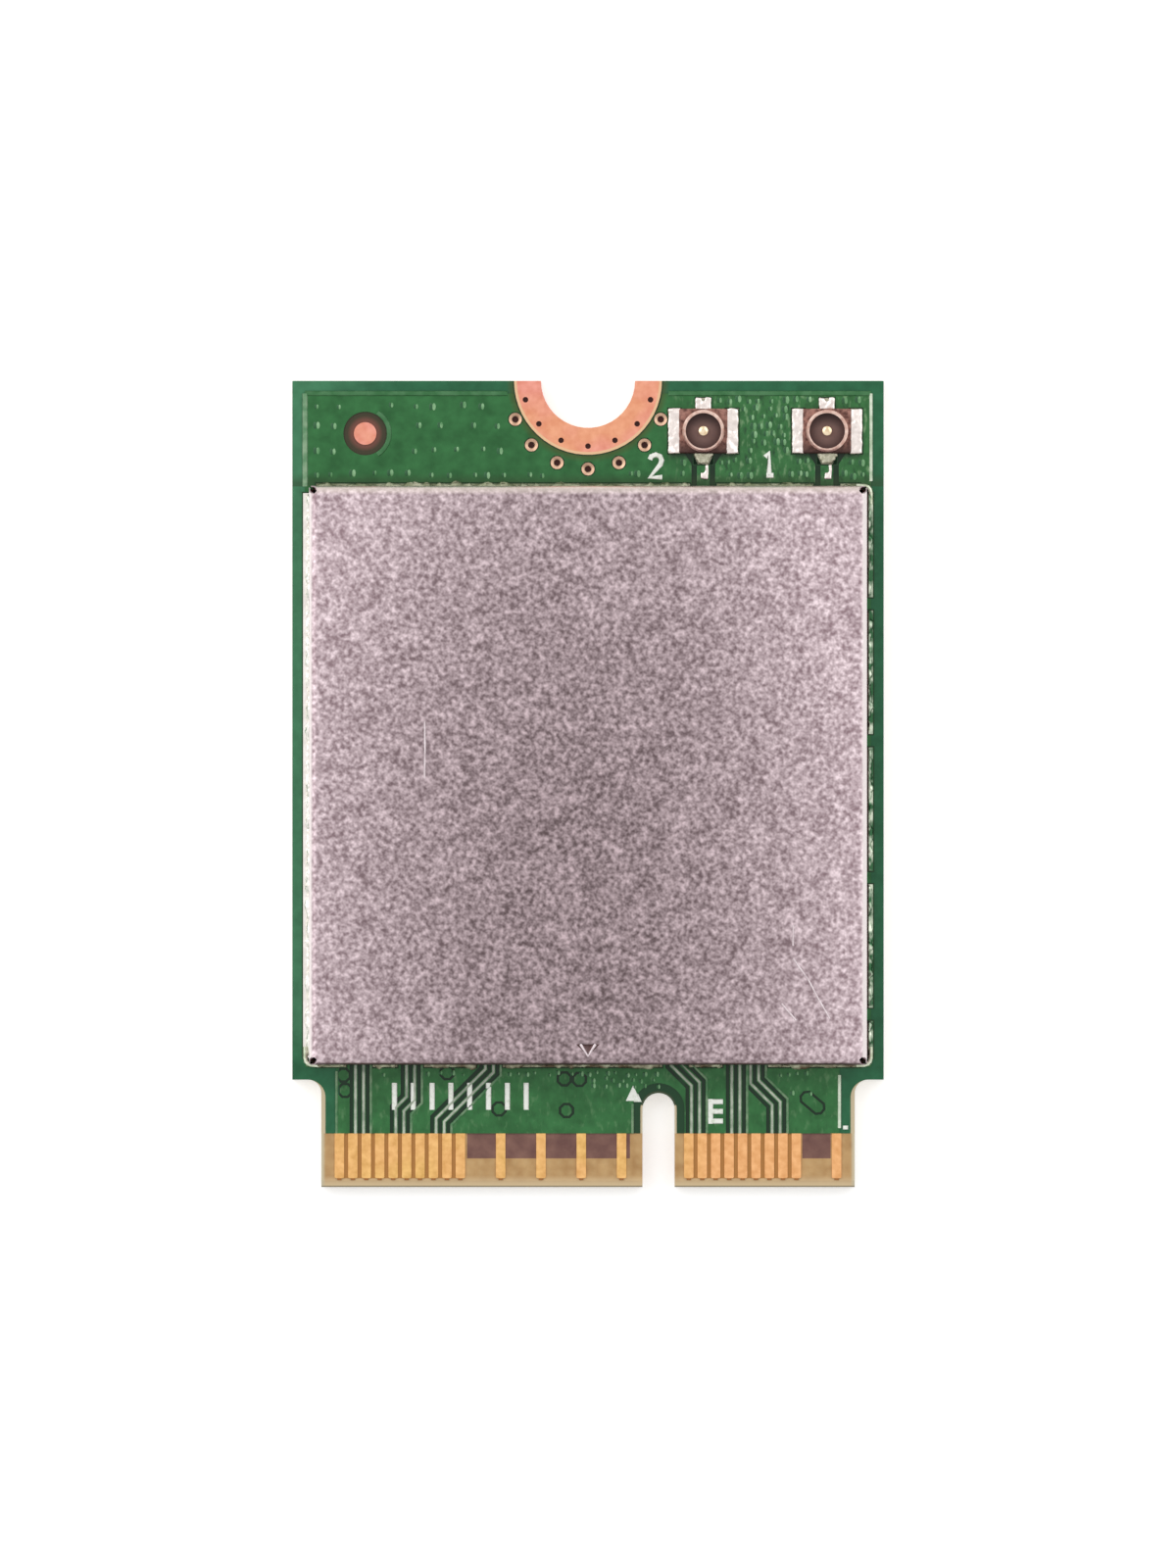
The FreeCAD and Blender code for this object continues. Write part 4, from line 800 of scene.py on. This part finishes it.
# Painted highlight along the index mark's sides.
index_sides = [[(-INDEX_HALF * MM, INDEX_BACK * MM), (0, INDEX_TIP * MM), (INDEX_HALF * MM, INDEX_BACK * MM)]]
index_edge = strokes("index_edge", scratch_and_index_glint, index_sides,
                     width=0.11 * MM, rise=0.006 * MM, level=CAN_TOP)
fit(index_edge)

# Shield land and solder: a tinned copper land, and solder paste that melted there and drew up the can's wall
# in an uneven bead. The line of solder round a corner is given in millimetres from the can's middle.
SIDE_SOLDER_FROM = 10.3 * MM
SOLDER_LUMPS = 0.5 * MM
SOLDER_LUMP_SPAN = (0.4, 0.62)
DULL_ROUGHNESS, CLEAN_GLOSS = 0.6, 0.24
WALL_SHADOW_LINE = (10.47 * MM, 10.43 * MM)
BEAD_SQUEEZES = ((-1, 0.5), (1, 0.75))
CORNER_SOLDER = ((10.52, 10.1), (10.52, 10.5), (10.49, 10.64), (10.42, 10.73), (10.28, 10.77), (9.98, 10.78))
SOLDERED_CORNERS = ((-1, -1), (1, -1), (1, 1))


def melt(piece, name, made, voxel, swell):
    """Makes the active piece melted metal, worked on in millimetres: remeshed, slackened, swollen unevenly"""
    bpy.ops.object.mode_set(mode="EDIT")
    bpy.ops.mesh.select_all(action="SELECT")
    bpy.ops.transform.resize(value=(1 / MM, 1 / MM, 1 / MM), center_override=(0, 0, 0))
    bpy.ops.mesh.remove_doubles(threshold=0.001)
    bpy.ops.object.mode_set(mode="OBJECT")
    remesh = piece.modifiers.new("melt", "REMESH")
    remesh.mode = "VOXEL"
    remesh.voxel_size = voxel
    slack = piece.modifiers.new("slack", "SMOOTH")
    slack.iterations = 4
    uneven = piece.modifiers.new("uneven", "DISPLACE")
    uneven.texture = bpy.data.textures.new("uneven_flow", "CLOUDS")
    uneven.texture.noise_scale = 0.4
    uneven.strength = swell
    uneven.mid_level = 0.4
    for modifier in ("melt", "slack", "uneven"):
        bpy.ops.object.modifier_apply(modifier=modifier)
    bpy.ops.object.shade_smooth()
    bpy.ops.object.mode_set(mode="EDIT")
    bpy.ops.mesh.select_all(action="SELECT")
    bpy.ops.transform.resize(value=(MM, MM, MM), center_override=(0, 0, 0))
    return close_piece(piece, name, made)


def fluxed_solder_with_painted_light():
    """Solder under a skin of flux, in lumps along the right and dull at the ends, coloured with painted
    light: bright along the left wall, dark green between the right's lumps with a shadow line by the wall,
    and darker at the front end
    """
    made, tree, shader, place = new_material("fluxed_solder_with_painted_light", Metallic=1.0)
    x, y = add(tree, "SeparateXYZ", place).node.outputs[:2]
    lumps = add(tree, "MapRange", add(tree, "TexNoise", place, 1 / SOLDER_LUMPS, 2.0), *SOLDER_LUMP_SPAN)
    left = add(tree, "Math", x, -SIDE_SOLDER_FROM, operation="LESS_THAN")
    right = add(tree, "Math", x, SIDE_SOLDER_FROM, operation="GREATER_THAN")
    sides = add(tree, "Math", left, right, operation="ADD")
    front = add(tree, "Math", y, 0.0, operation="LESS_THAN")
    # Painted light: bright on the left, and as painted shade dark green between the lumps on the right and
    # darker at the front; the back end keeps a dull flux tone.
    flux_and_painted_shade = lay_over(tree, "#80866a", (front, "#6a5d4b"), (right, "#3f6b49"), (left, "#ece7e0"))
    bright = lay_over(tree, "#acae96", (sides, lay_over(tree, "#d5dfca", (left, "#f8f3ee"))))
    # Painted shadow: a dark line in the right bead next to the can's wall.
    wall_shadow = product(tree, add(tree, "MapRange", x, *WALL_SHADOW_LINE), right)
    colour = lay_over(tree, flux_and_painted_shade, (lumps, bright), (wall_shadow, "#3d2f2b"))
    roughness = add(tree, "Math", DULL_ROUGHNESS, product(tree, sides, CLEAN_GLOSS), operation="SUBTRACT")
    tree.links.new(roughness, shader.inputs["Roughness"])
    finish_surface(tree, shader, colour, lumps, strength=0.4, depth=0.02 * MM)
    return made


solder_with_painted_light = fluxed_solder_with_painted_light()
dress(["shield_land"], solder_with_painted_light)
bpy.ops.object.select_all(action="DESELECT")
solder_bead = bpy.data.objects.new("solder_bead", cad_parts["shield_solder"].data.copy())
solder_bead.data.materials.clear()
bpy.context.collection.objects.link(solder_bead)
solder_bead.select_set(True)
bpy.context.view_layer.objects.active = solder_bead
melt(solder_bead, "solder_bead", solder_with_painted_light, voxel=0.045, swell=0.4)
for side, squeeze in BEAD_SQUEEZES:
    pick_faces(solder_bead, lambda face: face.center.x * side > -CAN_LEFT)
    bpy.ops.transform.resize(value=(squeeze, 1, 1), center_override=(-side * CAN_LEFT, 0, 0))
bpy.ops.object.mode_set(mode="OBJECT")
fit(solder_bead)
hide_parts("shield_solder")

corner_paths = [[(across * x * MM, CAN_MIDDLE + along * y * MM) for x, y in CORNER_SOLDER]
                for across, along in SOLDERED_CORNERS]
washed_solder = grained_metal("flux_washed_solder", "#a3ac8e", "#dde2ce",
                              grain=0.3 * MM, roughness=0.36, depth=0.02 * MM)
corner_solder = strokes("corner_solder", washed_solder, corner_paths,
                        width=0.2 * MM, rise=0.16 * MM, level=LACQUER_TOP)
bpy.ops.object.shade_smooth()
fit(corner_solder)

# Antenna ports: a drawn ring and pin flashed with gold, in a block of brown heat-proof resin. The ring's legs
# and the pin's foot are soldered to four lands under rounded mounds of solder. Drips and the steps of the
# foot's tapered joint are given in millimetres.
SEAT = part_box("port_1_insulator")[0][2]
PORT_Y = PORT_PLACES[0][1]
BLOCK_HALF_X, BLOCK_HALF_Y = 0.9 * MM, 0.83 * MM
BLOCK_FRONT_DARKENING = (PORT_Y - 0.35 * MM, PORT_Y - 0.8 * MM)
WELL_RADIUS = 0.66 * MM
WELL_SHADE = (0.3 * MM, 0.62 * MM)
WELL_SHADOW, WELL_SHADOW_SHARE = (PORT_Y + 0.1 * MM, PORT_Y + 0.6 * MM), 0.8
LAND_REACH, LAND_LAP = 0.4 * MM, 0.05 * MM
LAND_GRAIN, LAND_ROUGHNESS, LAND_DEPTH = 0.15 * MM, 0.45, 0.03 * MM
DULL_SOLDER = ("#8d8c76", "#c9c6b2")
MOUND_RISE, DRIP_RISE, FOOT_RISE = 0.16 * MM, 0.06 * MM, 0.1 * MM
MOUND_SINK = 0.04 * MM
PRONG_INNER, PRONG_OUTER = 0.08 * MM, 0.28 * MM
WEB_HALF, WEB_REACH = 0.2 * MM, 0.28 * MM
DRIPS = (((-0.1, 0.18), (-0.56, -0.3)), ((0.07, 0.19), (-0.4, 0)))
FOOT_STEPS = ((0.36, 0.1), (0.28, 0.24), (0.2, 0.38))
FOOT_TAPER = 0.45
FOOT_EDGE = (0.35 * MM, 0.4 * MM)


def solder_block(x_range, y_range, rise):
    """Amount of solder over a land, as a block sunk into the land"""
    middle = (sum(x_range) / 2, sum(y_range) / 2, SEAT + (rise - MOUND_SINK) / 2)
    bpy.ops.mesh.primitive_cube_add(size=1, location=middle)
    block = bpy.context.object
    block.scale = (x_range[1] - x_range[0], y_range[1] - y_range[0], rise + MOUND_SINK)
    return block


def solder_mounds(name, made, blocks):
    """Blocks of solder joined and melted to rounded mounds"""
    bpy.ops.object.select_all(action="DESELECT")
    for block in blocks:
        block.select_set(True)
    bpy.context.view_layer.objects.active = blocks[0]
    bpy.ops.object.join()
    bpy.ops.object.transform_apply(location=True, rotation=True, scale=True)
    fit(melt(bpy.context.object, name, made, voxel=0.035, swell=0.13))


def brown_port_resin():
    """Moulded brown resin: paler round the pin, dark in the ring's shade and along the block's front"""
    made, tree, shader, place = new_material("brown_moulded_resin", Roughness=0.5, Specular_IOR_Level=0.35)
    y = add(tree, "SeparateXYZ", place, output="Y")
    mottle = add(tree, "TexNoise", place, 1 / RESIN_MOTTLE, 3.0)
    mottles = add(tree, "MapRange", mottle, *SHARP_SPAN)
    from_pins = [from_axis(tree, place, *port_place) for port_place in PORT_PLACES]
    from_pin = add(tree, "Math", *from_pins, operation="MINIMUM")
    in_well = add(tree, "Math", from_pin, WELL_RADIUS, operation="LESS_THAN")
    shadow = product(tree, add(tree, "MapRange", y, *WELL_SHADOW), WELL_SHADOW_SHARE)
    well = lay_over(tree, "#7c605a", (add(tree, "MapRange", from_pin, *WELL_SHADE), "#4b3330"),
                    (shadow, "#2a1413"))
    # Darker towards the block's front.
    front_darkening = add(tree, "MapRange", y, *BLOCK_FRONT_DARKENING)
    colour = lay_over(tree, "#59342c", (mottles, "#ac7d70"), (front_darkening, "#3c201b"), (in_well, well))
    finish_surface(tree, shader, colour, mottle, strength=0.2, depth=0.01 * MM)
    return made


def land_solder():
    """Dull solder on a port's lands, with painted shadow at both sides of the tapered joint of the signal
    foot
    """
    made, tree, shader, place = new_material("land_solder_with_painted_shadow", Metallic=1.0, Roughness=LAND_ROUGHNESS)
    x, y = add(tree, "SeparateXYZ", place).node.outputs[:2]
    cloudy = add(tree, "TexNoise", place, 1 / LAND_GRAIN, 3.0)
    # Painted shadow of the block on the land beside the signal foot's joint.
    past_block = add(tree, "Math", PORT_Y - BLOCK_HALF_Y, y, operation="SUBTRACT")
    taper = add(tree, "Math", beside_port(tree, x), product(tree, past_block, FOOT_TAPER), operation="ADD")
    painted_shadow = product(tree, add(tree, "MapRange", taper, *FOOT_EDGE),
                   add(tree, "Math", past_block, 0.0, operation="GREATER_THAN"))
    low, high = DULL_SOLDER
    colour = lay_over(tree, low, (add(tree, "MapRange", cloudy, *CLOUD_SPAN), high), (painted_shadow, "#16241a"))
    finish_surface(tree, shader, colour, cloudy, strength=0.4, depth=LAND_DEPTH)
    return made


brown_resin = brown_port_resin()
port_tin = land_solder()
rose_flash = grained_metal("rose_gold_flash", "#c09789", "#ebcfc2",
                           grain=0.2 * MM, roughness=0.28, depth=0.008 * MM)
gold_flash = grained_metal("pale_gold_flash", "#d9bb92", "#f4e2c4",
                           grain=0.2 * MM, roughness=0.28, depth=0.008 * MM)
bright_solder = grained_metal("bright_solder", "#dbd0ca", "#f3e9e4",
                              grain=0.2 * MM, roughness=0.32, depth=0.02 * MM)
dull_solder = grained_metal("dull_solder", *DULL_SOLDER, LAND_GRAIN, LAND_ROUGHNESS, LAND_DEPTH)
for port, (port_x, port_y) in zip(("port_1", "port_2"), PORT_PLACES):
    dress([f"{port}_insulator"], brown_resin)
    dress([f"{port}_shell"], rose_flash)
    dress([f"{port}_pin"], gold_flash)
    dress([f"{port}_solder"], port_tin)
    block_front, block_back = port_y - BLOCK_HALF_Y, port_y + BLOCK_HALF_Y
    outer_x = BLOCK_HALF_X + LAND_REACH
    outer_y = BLOCK_HALF_Y + LAND_REACH
    land_front = port_y - outer_y
    blocks = []
    for side in (-1, 1):
        span = sorted((port_x + side * (BLOCK_HALF_X - LAND_LAP), port_x + side * outer_x))
        blocks.append(solder_block(span, (block_front, block_back), MOUND_RISE))
    for side in (-1, 1):
        span = sorted((port_x + side * PRONG_INNER, port_x + side * PRONG_OUTER))
        blocks.append(solder_block(span, (block_back - LAND_LAP, port_y + outer_y), MOUND_RISE))
    blocks.append(solder_block((port_x - WEB_HALF, port_x + WEB_HALF),
                               (block_back - LAND_LAP, block_back + WEB_REACH), MOUND_RISE))
    for (left, right), (front, back) in DRIPS:
        blocks.append(solder_block((port_x + left * MM, port_x + right * MM),
                                   (land_front + front * MM, land_front + back * MM), DRIP_RISE))
    solder_mounds(f"{port}_mounds", bright_solder, blocks)
    feet = [solder_block((port_x - half * MM, port_x + half * MM),
                         (block_front - reach * MM, block_front + LAND_LAP), FOOT_RISE)
            for half, reach in FOOT_STEPS]
    solder_mounds(f"{port}_signal_mound", dull_solder, feet)

# Floor: a plain matt white sweep laid just under the card, wide enough for every view. It takes the card's
# shadow and is white elsewhere.
FLOOR_SIZE = 3.0
FLOOR_DROP = 0.02 * MM
FLOOR_GLOW = 0.42


def seen_directly(tree):
    """1 for what the camera sees, straight, in metal or through glass, and 0 for the light that falls"""
    rays = add(tree, "LightPath").node.outputs
    seen = add(tree, "Math", rays["Is Camera Ray"], rays["Is Glossy Ray"], operation="MAXIMUM")
    return add(tree, "Math", seen, rays["Is Transmission Ray"], operation="MAXIMUM")


def white_floor():
    """Matt white board that the camera sees as white where no shadow falls"""
    made, tree, shader, _ = new_material("white_floor", Base_Color=linear("#f4f4f4"), Roughness=0.9,
                                         Emission_Color=linear("#ffffff"))
    tree.links.new(product(tree, seen_directly(tree), FLOOR_GLOW), shader.inputs["Emission Strength"])
    return made


bpy.ops.object.select_all(action="DESELECT")
bpy.ops.mesh.primitive_plane_add(size=FLOOR_SIZE, location=(0, 0, -FLOOR_DROP))
floor = bpy.context.object
floor.name = "floor"
floor.data.materials.append(white_floor())

# Light: an even white room and a soft lamp at each side, as on a copying stand. The left lamp is the stronger
# one, and the room looks whiter than it lights.
ROOM_LIGHT, ROOM_LOOK = 0.6, 1.0
LAMP_SIZE = 0.5
world = bpy.data.worlds.new("white_room")
bpy.context.scene.world = world
world.use_nodes = True
room = world.node_tree.nodes["Background"]
level = add(world.node_tree, "MapRange", seen_directly(world.node_tree), 0.0, 1.0, ROOM_LIGHT, ROOM_LOOK)
world.node_tree.links.new(level, room.inputs["Strength"])
room.inputs["Color"].default_value = linear("#ffffff")


def lamp(name, place, power):
    """Square soft lamp aimed at the card"""
    bpy.ops.object.light_add(type="AREA", location=place)
    made = bpy.context.object
    made.name = name
    made.data.shape = "SQUARE"
    made.data.size = LAMP_SIZE
    made.data.energy = power
    made.visible_camera = False
    aim = -made.location
    made.rotation_euler = aim.to_track_quat("-Z", "Y").to_euler()


lamp("left_lamp", place=(-0.36, 0.22, 0.36), power=1.12)
lamp("right_lamp", place=(0.36, 0.22, 0.36), power=0.7)

# Camera: straight above the middle of the card, far off with a long lens, so that the card is as large in the
# picture as its scale says.
CAMERA_HEIGHT = 0.6
PIXELS_PER_MM = 27.39
IMAGE_HEIGHT = 1600
bpy.ops.object.camera_add(location=(0, 0, CAMERA_HEIGHT))
camera = bpy.context.object
camera.data.lens = camera.data.sensor_width * CAMERA_HEIGHT / (IMAGE_HEIGHT / PIXELS_PER_MM * MM)
camera.data.clip_start = 0.01
bpy.context.scene.camera = camera
bpy.context.scene.view_settings.view_transform = "Standard"
